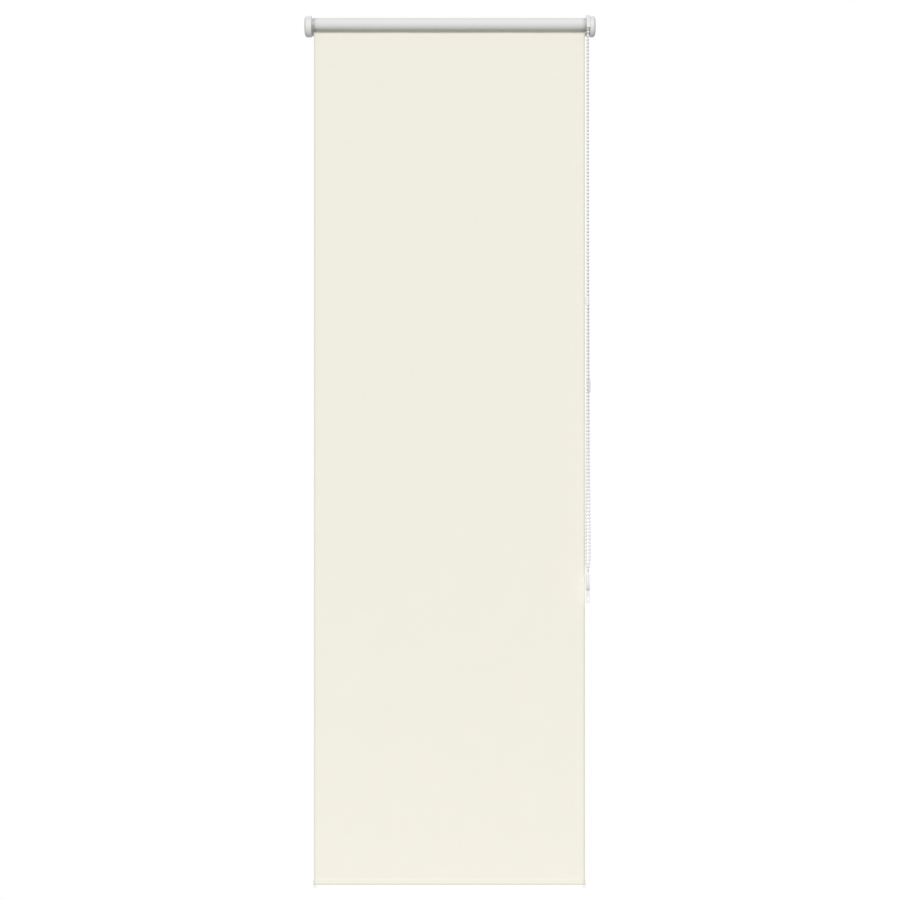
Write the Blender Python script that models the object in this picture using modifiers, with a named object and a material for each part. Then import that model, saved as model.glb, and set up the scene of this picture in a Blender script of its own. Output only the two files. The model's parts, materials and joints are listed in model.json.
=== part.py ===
"""Roller blind with a bead-chain clutch, hung in front of a wall.

Frame: the origin lies on the wall plane, midway between the bracket covers and
level with the roller axis. +X is to the right as seen from the room, +Y goes
into the wall and +Z is up. Lengths are in metres. The blind stands lowered.
"""

import math

import bmesh
import bpy
from mathutils import Vector

MM = 0.001

# ---------------------------------------------------------------- dimensions

# Overall
OVERALL_WIDTH = 500.0 * MM       # over the two bracket covers
IDLE_ALLOWANCE = 16.0 * MM       # cover's outer face to the cloth's edge, spring-pin end
CONTROL_ALLOWANCE = 18.0 * MM    # the same at the chain end
DROP = 1479.5 * MM               # roller axis down to the underside of the hem
AXIS_OFFSET = 24.0 * MM          # wall to roller axis

# Clearances
GAP = 0.3 * MM                   # between pieces that rest on each other
RUNNING_GAP = 0.5 * MM           # between faces that turn past each other

# Cloth
CLOTH = 0.4 * MM
ROLL_LAYERS = 2                  # layers left on the tube with the blind down
ROLL_INSET = 1.2 * MM            # how far the wound turns sit in from the tube's left end

# Roller tube
TUBE_RADIUS = 8.9 * MM
TUBE_WALL = 0.8 * MM
TUBE_OVERHANG = 0.3 * MM         # tube past the cloth at each end
TUBE_RIBS = 3
RIB_DEPTH = 0.8 * MM
RIB_WIDTH = 1.6 * MM
TAPE_THICKNESS = 0.16 * MM
TAPE_CLEARANCE = 0.12 * MM
TAPE_ANGLE = math.radians(50)

# End fittings in the tube
FLANGE_THICKNESS = 1.2 * MM
FLANGE_STEP = 1.2 * MM           # end flange past the tube's outer face
PLUG_LENGTH = 35.0 * MM
PLUG_WALL = 2.0 * MM             # end wall that the pin slides in

# Spring pin
PIN_RADIUS = 2.5 * MM
PIN_REACH = 5.8 * MM             # pin's tip past the plug's outer face
PIN_TRAVEL = 5.5 * MM
PIN_COLLAR_RADIUS = 4.4 * MM
PIN_COLLAR_THICKNESS = 1.5 * MM
PIN_STEM_RADIUS = 1.7 * MM
PIN_SPRING_TURNS = 8
PIN_SPRING_WIRE = 0.35 * MM      # wire radius
SEAT_THICKNESS = 4.0 * MM

# Brackets and covers
PLATE_THICKNESS = 2.0 * MM       # side plate
WALL_PLATE_THICKNESS = 3.0 * MM
WALL_PLATE_WIDTH = 26.0 * MM
BRACKET_DROP = 4.2 * MM          # bracket's centre below the roller axis
COVER_RADIUS = 17.5 * MM
COVER_WALL = 1.5 * MM
COVER_FILLET = 5.0 * MM
COVER_DOME = 0.6 * MM
COVER_LIP = 0.4 * MM             # cover's rim past the idle side plate
COVER_WALL_CLEARANCE = 0.5 * MM  # cover's back edge to the wall
SLOT_LENGTH = 9.0 * MM
SLOT_WIDTH = 5.0 * MM
SLOT_SPACING = 18.0 * MM
BUSH_NECK_RADIUS = 9.6 * MM
BUSH_NECK_LENGTH = 1.7 * MM
BUSH_BARREL_RADIUS = 4.6 * MM

# Chain and sprocket
BEAD_RADIUS = 2.25 * MM
BEAD_PITCH = 6.0 * MM
SPROCKET_BEADS = 12
GROOVE_CLEARANCE = 0.4 * MM      # chain to the groove that it lies in

# Chain clutch
CHAIN_SIDE_CLEARANCE = 0.55 * MM  # adapter's flange to the chain
GUARD_SIDE_CLEARANCE = 0.35 * MM  # chain to the guard's face
GUARD_CHAIN_CLEARANCE = 0.4 * MM  # chain to the guard's rim
GUARD_WALL = 1.0 * MM
GUARD_FACE = 1.0 * MM
GUARD_SKIRT = 7.5 * MM            # the rim's straight sides, below the axis
GUARD_FLARE = math.radians(13.5)  # their lean, which lets the chain swing
LUG_SIZE = (3.0 * MM, 2.4 * MM)   # along Y and Z
LUG_LENGTH = 1.6 * MM
LUG_HEIGHT = 7.5 * MM             # above and below the axis
SPINDLE_RADIUS = 3.4 * MM
SPINDLE_LENGTH = 38.5 * MM
CLIP_GROOVE_DEPTH = 0.6 * MM
CLIP_GROOVE_WIDTH = 1.6 * MM
CLIP_STEP = 2.2 * MM             # clip past the spindle
CLIP_THICKNESS = 1.0 * MM
SLEEVE_WALL = 0.8 * MM
SLEEVE_LENGTH = 26.0 * MM
WRAP_SPRING_WIRE = 0.4 * MM       # wire radius
WRAP_SPRING_TURNS = 4
WRAP_SPRING_LENGTH = 8.5 * MM
WRAP_SPRING_CLEARANCE = 0.1 * MM  # more than the gap, inside and outside the coils
ADAPTER_END_WALL = 2.0 * MM
SCREW_RADIUS = 1.25 * MM
SCREW_LENGTH = 18.0 * MM
SCREW_HEAD_RADIUS = 2.8 * MM
SCREW_HEAD_HEIGHT = 1.8 * MM

# Bottom rail
HEM_HEIGHT = 7.6 * MM
HEM_DEPTH = 5.6 * MM
HEM_WALL = 0.5 * MM
HEM_CORNER = 0.42                # corner radius, as a share of the hem's depth
BAR_CORNER = 0.35                # corner radius, as a share of the bar's depth
CAP_STUB = 8.0 * MM              # end cap's plug inside the hem
CAP_FLANGE = 0.6 * MM
CAP_FOOT = 4.5 * MM              # end cap below the hem
CAP_FOOT_WIDTH = 4.6 * MM
CAP_MARGIN = 0.4 * MM            # flange past the hem's outline

# Chain loop: the sprocket's top, down the front strand, round the tensioner's
# wheel and up the back strand, as (x, y, z) in millimetres
CHAIN_ROUTE = (
    (236.6, -24.2, 11.5), (236.6, -28.4, 10.6), (236.6, -32.1, 8.1), (236.6, -34.6, 4.4),
    (236.6, -35.5, 0.0), (236.6, -35.5, -12.0), (236.5, -35.5, -62.4), (236.0, -35.5, -252.4),
    (235.4, -35.5, -469.4), (235.4, -35.5, -484.4), (234.6, -35.4, -702.4), (233.4, -35.2, -862.4),
    (232.9, -35.2, -907.4), (233.5, -35.3, -926.4), (236.6, -35.5, -943.4), (236.9, -35.5, -950.4),
    (236.9, -35.5, -959.4), (236.9, -34.6, -963.8), (236.9, -32.1, -967.5), (236.9, -28.4, -970.0),
    (236.9, -24.0, -970.9), (236.9, -19.6, -970.0), (236.9, -15.9, -967.5), (236.9, -13.4, -963.8),
    (236.9, -12.5, -959.4), (236.9, -12.5, -950.4), (237.2, -12.5, -943.4), (239.6, -12.7, -924.4),
    (240.0, -12.8, -902.4), (239.2, -12.7, -802.4), (238.2, -12.6, -632.4), (238.2, -12.6, -611.4),
    (237.0, -12.5, -302.4), (236.6, -12.5, -62.4), (236.6, -12.5, 0.0), (236.6, -13.4, 4.4),
    (236.6, -15.9, 8.1), (236.6, -19.6, 10.6), (236.6, -23.8, 11.5),
)
CHAIN_POINT_STEP = 32.0 * MM     # longest step between the tube's points

# Pieces on the chain: (place in the route's millimetres, length, outer radius)
CONNECTOR_AT = (235.4, -35.5, -476.9)
CONNECTOR_LENGTH = 15.0 * MM
JOINER_AT = (238.2, -12.6, -621.9)
JOINER_LENGTH = 21.0 * MM
CONNECTOR_RADIUS = 3.2 * MM

# Chain tensioner
TENSIONER_AT = (236.9, -24.0, -959.4)  # wheel's centre, in the route's millimetres
TENSIONER_TOP = 15.5 * MM        # above the wheel's centre
TENSIONER_RADIUS = 15.1 * MM
TENSIONER_THICKNESS = 6.4 * MM
TENSIONER_LUG = 23.0 * MM        # lower edge of the two-part stretch, below the centre
TENSIONER_FOOT = 36.0 * MM       # lower edge of the foot, below the centre
TENSIONER_FOOT_DEPTH = 12.0 * MM
WHEEL_HALF_WIDTH = 2.3 * MM
WHEEL_BORE = 2.5 * MM
DRUM_CLEARANCE = 0.8 * MM        # shells' recess inside the chain's pitch circle
FIXING_HOLE_RADIUS = 1.8 * MM
FIXING_HOLE_DROP = 29.0 * MM     # below the wheel's centre
SHELL_SCREW_DROP = 19.0 * MM
SHELL_SCREW_RADIUS = 1.1 * MM
SHELL_SCREW_HEAD = 2.1 * MM
SHELL_SCREW_HEAD_HEIGHT = 0.96 * MM
SHELL_SCREW_RECESS = 1.44 * MM   # outer face of the left shell to the head's seat
SHELL_SCREW_END = 0.96 * MM      # wall left past the screw in the right shell

ROUND_STEPS = 32                 # facets of a turned piece
SMALL_ROUND_STEPS = 20

# ------------------------------------------------------- places worked out

AXIS = Vector((0, -AXIS_OFFSET, 0))
CLOTH_LEFT = -OVERALL_WIDTH / 2 + IDLE_ALLOWANCE
CLOTH_RIGHT = OVERALL_WIDTH / 2 - CONTROL_ALLOWANCE
TUBE_LEFT = CLOTH_LEFT - TUBE_OVERHANG
TUBE_RIGHT = CLOTH_RIGHT + TUBE_OVERHANG
TUBE_BORE = TUBE_RADIUS - TUBE_WALL
FITTING_RADIUS = TUBE_BORE - GAP
FLANGE_RADIUS = TUBE_RADIUS + FLANGE_STEP

ROLL_INNER = TUBE_RADIUS + TAPE_THICKNESS + 2 * TAPE_CLEARANCE
ROLL_OUTER = ROLL_INNER + ROLL_LAYERS * CLOTH
SHEET_FRONT = -AXIS_OFFSET + ROLL_OUTER - CLOTH + GAP
SHEET_BACK = SHEET_FRONT + CLOTH

# Idle end, from the tube outwards (towards -X)
PLUG_FACE = TUBE_LEFT - GAP - FLANGE_THICKNESS
BUSH_FACE = PLUG_FACE - RUNNING_GAP
IDLE_PLATE_IN = BUSH_FACE - BUSH_NECK_LENGTH - GAP
IDLE_PLATE_OUT = IDLE_PLATE_IN - PLATE_THICKNESS
PIN_TIP = PLUG_FACE - PIN_REACH
PIN_COLLAR = PLUG_FACE + PLUG_WALL + FLANGE_THICKNESS + GAP
PLUG_END = PLUG_FACE + PLUG_LENGTH
SEAT_START = PLUG_END - SEAT_THICKNESS - 2 * GAP
PLUG_CAVITY = PIN_COLLAR_RADIUS + GAP

# Control end, from the tube outwards (towards +X)
ADAPTER_FLANGE_IN = TUBE_RIGHT + GAP
ADAPTER_FLANGE_OUT = ADAPTER_FLANGE_IN + FLANGE_THICKNESS
CHAIN_X = ADAPTER_FLANGE_OUT + CHAIN_SIDE_CLEARANCE + BEAD_RADIUS
GUARD_IN = CHAIN_X + BEAD_RADIUS + GUARD_SIDE_CLEARANCE
GUARD_OUT = GUARD_IN + GUARD_FACE
CONTROL_PLATE_IN = GUARD_OUT + GAP
CONTROL_PLATE_OUT = CONTROL_PLATE_IN + PLATE_THICKNESS
CHAIN_RADIUS = BEAD_PITCH * SPROCKET_BEADS / (2 * math.pi)
GUARD_BORE = CHAIN_RADIUS + BEAD_RADIUS + GUARD_CHAIN_CLEARANCE
GUARD_RADIUS = GUARD_BORE + GUARD_WALL
CLIP_RADIUS = SPINDLE_RADIUS + CLIP_STEP
SPINDLE_OUT = GUARD_IN - GAP
SPINDLE_IN = SPINDLE_OUT - SPINDLE_LENGTH
SPROCKET_BORE = SPINDLE_RADIUS + GAP
SPRING_RADIUS = SPINDLE_RADIUS + GAP + WRAP_SPRING_WIRE + WRAP_SPRING_CLEARANCE
SLEEVE_BORE = SPRING_RADIUS + WRAP_SPRING_WIRE + GAP + WRAP_SPRING_CLEARANCE
SLEEVE_RADIUS = SLEEVE_BORE + SLEEVE_WALL
SPROCKET_IN = ADAPTER_FLANGE_OUT + GAP
SPROCKET_OUT = CHAIN_X + BEAD_RADIUS
SLEEVE_END = SPROCKET_IN - SLEEVE_LENGTH
CLIP_IN = SPINDLE_IN + CLIP_GROOVE_WIDTH
ADAPTER_END = CLIP_IN + CLIP_GROOVE_WIDTH + GAP

PLATE_RADIUS = COVER_RADIUS - COVER_WALL - GAP

# Bottom rail
HEM_BOTTOM = -DROP
HEM_TOP = HEM_BOTTOM + HEM_HEIGHT
HEM_Y = (SHEET_FRONT + SHEET_BACK) / 2
BAR_HEIGHT = HEM_HEIGHT - 2 * HEM_WALL - 2 * GAP
BAR_DEPTH = HEM_DEPTH - 2 * HEM_WALL - 2 * GAP

# ------------------------------------------------------------ scene helpers


def clear_scene():
    """Remove every object that the file holds."""
    for old in list(bpy.data.objects):
        bpy.data.objects.remove(old, do_unlink=True)


def new_collection(name):
    collection = bpy.data.collections.new(name)
    bpy.context.scene.collection.children.link(collection)
    return collection


clear_scene()
PARTS = new_collection("roller_blind")
CUTTERS = new_collection("cutters")


def material(name, colour, roughness, metallic=0.0):
    """A Principled material with a linear base colour."""
    made = bpy.data.materials.new(name)
    made.use_nodes = True
    shader = made.node_tree.nodes["Principled BSDF"]
    shader.inputs["Base Color"].default_value = (*colour, 1.0)
    shader.inputs["Roughness"].default_value = roughness
    shader.inputs["Metallic"].default_value = metallic
    return made


def place(obj, parent, mat=None):
    """Put an object in the parts (with a material) or among the cutters."""
    if mat is None:
        CUTTERS.objects.link(obj)
        obj.hide_render = True
        obj.display_type = "WIRE"
    else:
        PARTS.objects.link(obj)
        obj.data.materials.append(mat)
    if parent is not None:
        obj.parent = parent
        obj.matrix_parent_inverse = parent.matrix_world.inverted()
    return obj


def pivot(name, position):
    """An empty on a joint's axis, the parent of all that moves with it."""
    empty = bpy.data.objects.new(name, None)
    empty.location = position
    PARTS.objects.link(empty)
    bpy.context.view_layer.update()
    return empty


def mesh_object(name, bm, parent, mat):
    """Turn a bmesh into an object, shaded smooth with its sharp edges kept."""
    mesh = bpy.data.meshes.new(name)
    bm.to_mesh(mesh)
    bm.free()
    mesh.shade_smooth()
    mesh.set_sharp_from_angle(angle=math.radians(35))
    return place(bpy.data.objects.new(name, mesh), parent, mat)


def box(name, low, high, parent=None, mat=None):
    """A block between two corners."""
    bm = bmesh.new()
    bmesh.ops.create_cube(bm, size=1.0)
    size = Vector(high) - Vector(low)
    bmesh.ops.scale(bm, vec=size, verts=bm.verts)
    bmesh.ops.translate(bm, vec=Vector(low) + size / 2, verts=bm.verts)
    return mesh_object(name, bm, parent, mat)


def turned(name, profile, centre, parent=None, mat=None, along="X", steps=ROUND_STEPS):
    """Turn a closed profile of (position, radius) points round a line along X or Z.

    The profile runs down the outer side, from the highest position to the
    lowest, and back up the bore; a solid piece starts and ends at radius 0.
    """
    mesh = bpy.data.meshes.new(name)
    points = [(radius, 0.0, position) for position, radius in profile]
    edges = [(i, i + 1) for i in range(len(points) - 1)]
    if profile[0][1] > 0:
        edges.append((len(points) - 1, 0))
    mesh.from_pydata(points, edges, [])
    obj = place(bpy.data.objects.new(name, mesh), None, mat)
    obj.location = centre
    if along == "X":
        obj.rotation_euler = (0, math.pi / 2, 0)
    bpy.context.view_layer.update()
    if parent is not None:
        obj.parent = parent
        obj.matrix_parent_inverse = parent.matrix_world.inverted()
    screw = obj.modifiers.new("turn", "SCREW")
    screw.axis = "Z"
    screw.steps = steps
    screw.render_steps = steps
    screw.use_merge_vertices = True
    screw.merge_threshold = 1e-6
    screw.use_smooth_shade = True
    return obj


def ring(name, low, high, bore, radius, parent=None, mat=None, centre=AXIS, along="X",
         steps=ROUND_STEPS):
    """A plain cylinder, hollow when its bore is more than 0."""
    profile = [(high, bore), (high, radius), (low, radius), (low, bore)]
    return turned(name, profile, centre, parent, mat, along, steps)


def extruded(name, loops, low, high, along, parent=None, mat=None):
    """A flat outline, with any holes as further loops, drawn out along X or Y.

    The loops hold (y, z) points for X and (x, z) points for Y.
    """
    curve = bpy.data.curves.new(name, "CURVE")
    curve.dimensions = "2D"
    curve.fill_mode = "BOTH"
    curve.extrude = (high - low) / 2
    for loop in loops:
        spline = curve.splines.new("POLY")
        spline.points.add(len(loop) - 1)
        spline.use_cyclic_u = True
        for point, (across, up) in zip(spline.points, loop):
            point.co = (-up, across, 0, 1) if along == "X" else (across, up, 0, 1)
    drawn = bpy.data.objects.new(name + "_outline", curve)
    middle = (high + low) / 2
    if along == "X":
        drawn.location = (middle, 0, 0)
        drawn.rotation_euler = (0, math.pi / 2, 0)
    else:
        drawn.location = (0, middle, 0)
        drawn.rotation_euler = (math.pi / 2, 0, 0)
    return solid_from_curve(name, drawn, parent, mat)


def tube_along(name, points, radius, parent=None, mat=None, resolution=2):
    """A round bar through a list of points, with flat ends."""
    curve = bpy.data.curves.new(name, "CURVE")
    curve.dimensions = "3D"
    curve.bevel_depth = radius
    curve.bevel_resolution = resolution
    curve.use_fill_caps = True
    spline = curve.splines.new("POLY")
    spline.points.add(len(points) - 1)
    for target, source in zip(spline.points, points):
        target.co = (*source, 1)
    drawn = bpy.data.objects.new(name + "_path", curve)
    return solid_from_curve(name, drawn, parent, mat)


def solid_from_curve(name, drawn, parent, mat):
    """Replace a curve object with a welded mesh in the same place."""
    bpy.context.scene.collection.objects.link(drawn)
    bpy.context.view_layer.update()
    seen = drawn.evaluated_get(bpy.context.evaluated_depsgraph_get())
    mesh = bpy.data.meshes.new_from_object(seen)
    world = drawn.matrix_world.copy()
    bpy.data.objects.remove(drawn, do_unlink=True)
    bm = bmesh.new()
    bm.from_mesh(mesh)
    bpy.data.meshes.remove(mesh)
    bmesh.ops.remove_doubles(bm, verts=bm.verts, dist=1e-6)
    bmesh.ops.recalc_face_normals(bm, faces=bm.faces)
    obj = mesh_object(name, bm, None, mat)
    obj.matrix_world = world
    bpy.context.view_layer.update()
    if parent is not None:
        obj.parent = parent
        obj.matrix_parent_inverse = parent.matrix_world.inverted()
    return obj


def boolean(target, other, operation):
    modifier = target.modifiers.new(other.name, "BOOLEAN")
    modifier.object = other
    modifier.operation = operation
    modifier.solver = "EXACT"


def cut(target, *cutters):
    for cutter in cutters:
        boolean(target, cutter, "DIFFERENCE")


def join(target, *others):
    for other in others:
        boolean(target, other, "UNION")


# --------------------------------------------------------- outline helpers


def arc(centre, radius, start, end, steps):
    """Points on an arc between two angles in degrees, ends included."""
    points = []
    for i in range(steps + 1):
        angle = math.radians(start + (end - start) * i / steps)
        points.append((centre[0] + radius * math.cos(angle), centre[1] + radius * math.sin(angle)))
    return points


def circle(centre, radius, steps):
    """Points once round a circle."""
    return arc(centre, radius, 0, 360 * (steps - 1) / steps, steps - 1)


def tombstone(centre, radius, back, steps=18):
    """Half circle towards the room, straight back to a given Y: (y, z) points."""
    points = [(back, centre[1] + radius)]
    points += arc(centre, radius, 90, 270, steps)
    points.append((back, centre[1] - radius))
    return points


def stadium(centre, length, width, steps=8):
    """A slot along the first coordinate."""
    reach = (length - width) / 2
    left = (centre[0] - reach, centre[1])
    right = (centre[0] + reach, centre[1])
    return arc(right, width / 2, -90, 90, steps) + arc(left, width / 2, 90, 270, steps)


def rounded_rectangle(centre, width, height, corner, steps=4):
    points = []
    for start, side_a, side_b in ((0, 1, 1), (90, -1, 1), (180, -1, -1), (270, 1, -1)):
        middle = (centre[0] + side_a * (width / 2 - corner), centre[1] + side_b * (height / 2 - corner))
        points += arc(middle, corner, start, start + 90, steps)
    return points


def ribbed_circle(radius, rib_depth, rib_width, steps=54):
    """A circle round the roller axis, dented by the tube's evenly spaced ribs."""
    centre = (AXIS.y, AXIS.z)
    half = math.degrees(math.asin(rib_width / 2 / (radius - rib_depth)))
    pitch = 360 / TUBE_RIBS
    points = []
    for i in range(TUBE_RIBS):
        middle = 90 + i * pitch
        points += arc(centre, radius - rib_depth, middle - half, middle + half, 2)
        points += arc(centre, radius, middle + half, middle + pitch - half, steps // TUBE_RIBS)
    return points


def helix(start, end, radius, turns, per_turn=10):
    """Points of a coil round the roller axis between two X positions."""
    count = turns * per_turn
    points = []
    for i in range(count + 1):
        angle = 2 * math.pi * i / per_turn
        x = start + (end - start) * i / count
        points.append((x, AXIS.y + radius * math.cos(angle), AXIS.z + radius * math.sin(angle)))
    return points


def smooth_route(route, step):
    """Points of a Catmull-Rom curve through a route, no further apart than a step."""
    knots = [Vector(point) * MM for point in route]
    points = []
    for i in range(len(knots) - 1):
        before = knots[max(i - 1, 0)]
        a, b = knots[i], knots[i + 1]
        after = knots[min(i + 2, len(knots) - 1)]
        span = (b - a).length
        slope_a = (b - before) * (span / max((b - a).length + (a - before).length, 1e-9))
        slope_b = (after - a) * (span / max((after - b).length + (b - a).length, 1e-9))
        pieces = max(1, math.ceil(span / step))
        for j in range(pieces):
            t = j / pieces
            points.append(
                a * (2 * t**3 - 3 * t**2 + 1) + slope_a * (t**3 - 2 * t**2 + t)
                + b * (3 * t**2 - 2 * t**3) + slope_b * (t**3 - t**2))
    points.append(knots[-1])
    return points


def groove_profile(half_width, middle, bore, steps=6):
    """Profile of a wheel whose rim holds half a bead, centred on a position."""
    hollow = BEAD_RADIUS + GROOVE_CLEARANCE
    points = [(middle + half_width, bore)]
    for i in range(steps + 1):
        offset = half_width * (1 - 2 * i / steps)
        radius = CHAIN_RADIUS - math.sqrt(max(hollow**2 - offset**2, 0))
        points.append((middle + offset, radius))
    points.append((middle - half_width, bore))
    return points


# ---------------------------------------------------------------- materials

WHITE_PLASTIC = material("white_plastic", (0.80, 0.80, 0.79), 0.35)
GREY_PLASTIC = material("grey_plastic", (0.20, 0.20, 0.20), 0.5)
WHITE_STEEL = material("painted_steel", (0.78, 0.78, 0.77), 0.4)
ALUMINIUM = material("aluminium", (0.72, 0.73, 0.74), 0.35, 1.0)
STEEL = material("steel", (0.55, 0.55, 0.56), 0.3, 1.0)
CLOTH_MATERIAL = material("cloth", (0.88, 0.855, 0.752), 0.9)
CLOTH_BACKING = material("cloth_backing", (0.82, 0.82, 0.81), 0.85)
TAPE_MATERIAL = material("tape", (0.75, 0.70, 0.55), 0.6)
CHAIN_MATERIAL = material("chain_plastic", (0.82, 0.82, 0.81), 0.35)

# ------------------------------------------------------------------ brackets


def cover_shell(name, rim, outer, side):
    """A domed cover, open towards the roller and towards the wall.

    It is drawn towards +X and mirrored for the side that faces -X.
    """
    rim, outer = side * rim, side * outer
    centre = (AXIS.y, -BRACKET_DROP)
    past = COVER_FILLET * 2
    bm = bmesh.new()
    outline = tombstone(centre, COVER_RADIUS, past)
    face = bm.faces.new([bm.verts.new((rim - past, y, z)) for y, z in outline])
    grown = bmesh.ops.extrude_face_region(bm, geom=[face])
    moved = [item for item in grown["geom"] if isinstance(item, bmesh.types.BMVert)]
    bmesh.ops.translate(bm, vec=(outer - COVER_DOME - rim + past, 0, 0), verts=moved)
    bmesh.ops.recalc_face_normals(bm, faces=bm.faces)
    front = max(bm.faces, key=lambda f: f.calc_center_median().x)
    bmesh.ops.bevel(bm, geom=list(front.edges), offset=COVER_FILLET, segments=4, profile=0.5,
                    affect="EDGES")
    front = max(bm.faces, key=lambda f: f.calc_center_median().x)
    for share in (0.6, 0.4):
        bmesh.ops.inset_region(bm, faces=[front], thickness=COVER_FILLET * share,
                               depth=COVER_DOME / 2)
    for plane, normal in (((rim, 0, 0), (-1, 0, 0)), ((0, -COVER_WALL_CLEARANCE, 0), (0, 1, 0))):
        geometry = list(bm.verts) + list(bm.edges) + list(bm.faces)
        bmesh.ops.bisect_plane(bm, geom=geometry, plane_co=plane, plane_no=normal, clear_outer=True)
    if side < 0:
        bmesh.ops.scale(bm, vec=(-1, 1, 1), verts=bm.verts)
        bmesh.ops.reverse_faces(bm, faces=bm.faces)
    obj = mesh_object(name, bm, None, WHITE_PLASTIC)
    shell = obj.modifiers.new("shell", "SOLIDIFY")
    shell.thickness = COVER_WALL
    shell.offset = -1
    return obj


def bracket(name, plate_in, plate_out, inboard):
    """An angle bracket: a rounded side plate and a wall plate with two screw slots."""
    low, high = sorted((plate_in, plate_out))
    centre = (AXIS.y, -BRACKET_DROP)
    obj = extruded(name, [tombstone(centre, PLATE_RADIUS, 0.0)], low, high, "X", None, WHITE_STEEL)
    end = plate_out + inboard * WALL_PLATE_WIDTH
    plate_low, plate_high = sorted((plate_out, end))
    wall_plate = box(
        name + "_wall_plate", (plate_low, -WALL_PLATE_THICKNESS, -BRACKET_DROP - PLATE_RADIUS),
        (plate_high, 0, -BRACKET_DROP + PLATE_RADIUS))
    join(obj, wall_plate)
    slot_x = (plate_in + end) / 2
    for way in (-1, 1):
        slot = stadium((slot_x, -BRACKET_DROP + way * SLOT_SPACING / 2), SLOT_LENGTH, SLOT_WIDTH)
        cut(obj, extruded(name + "_slot", [slot], -2 * WALL_PLATE_THICKNESS, WALL_PLATE_THICKNESS, "Y"))
    return obj


def make_idle_bracket():
    obj = bracket("idle_bracket", IDLE_PLATE_IN, IDLE_PLATE_OUT, 1)
    hole = ring("idle_bracket_hole", IDLE_PLATE_OUT - PLATE_THICKNESS,
                IDLE_PLATE_IN + PLATE_THICKNESS, 0, BUSH_BARREL_RADIUS + GAP)
    cut(obj, hole)
    cover_shell("idle_bracket_cover", IDLE_PLATE_IN + COVER_LIP, -OVERALL_WIDTH / 2, -1)
    bore = PIN_RADIUS + GAP
    profile = [
        (BUSH_FACE, bore), (BUSH_FACE, BUSH_NECK_RADIUS),
        (BUSH_FACE - BUSH_NECK_LENGTH, BUSH_NECK_RADIUS),
        (BUSH_FACE - BUSH_NECK_LENGTH, BUSH_BARREL_RADIUS),
        (IDLE_PLATE_OUT - GAP, BUSH_BARREL_RADIUS), (IDLE_PLATE_OUT - GAP, bore)]
    turned("idle_pin_bush", profile, AXIS, None, WHITE_PLASTIC, steps=SMALL_ROUND_STEPS)


def lug_box(name, way, margin, length, mat=None):
    """One of the two lugs that stop the clutch from turning, or its slot."""
    half_y, half_z = LUG_SIZE[0] / 2 + margin, LUG_SIZE[1] / 2 + margin
    middle = AXIS.z + way * LUG_HEIGHT
    start = GUARD_OUT - GUARD_FACE / 2
    return box(name, (start, AXIS.y - half_y, middle - half_z),
               (GUARD_OUT + length, AXIS.y + half_y, middle + half_z), None, mat)


def make_control_bracket():
    obj = bracket("control_bracket", CONTROL_PLATE_IN, CONTROL_PLATE_OUT, -1)
    hole = ring("control_bracket_hole", CONTROL_PLATE_IN - PLATE_THICKNESS,
                CONTROL_PLATE_OUT + PLATE_THICKNESS, 0, SCREW_RADIUS + GAP,
                steps=SMALL_ROUND_STEPS)
    cut(obj, hole)
    for way in (-1, 1):
        cut(obj, lug_box("control_bracket_lug_slot", way, GAP, 2 * PLATE_THICKNESS))
    cover_shell("control_bracket_cover", CONTROL_PLATE_IN, OVERALL_WIDTH / 2, 1)


# -------------------------------------------------------------------- clutch


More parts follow.
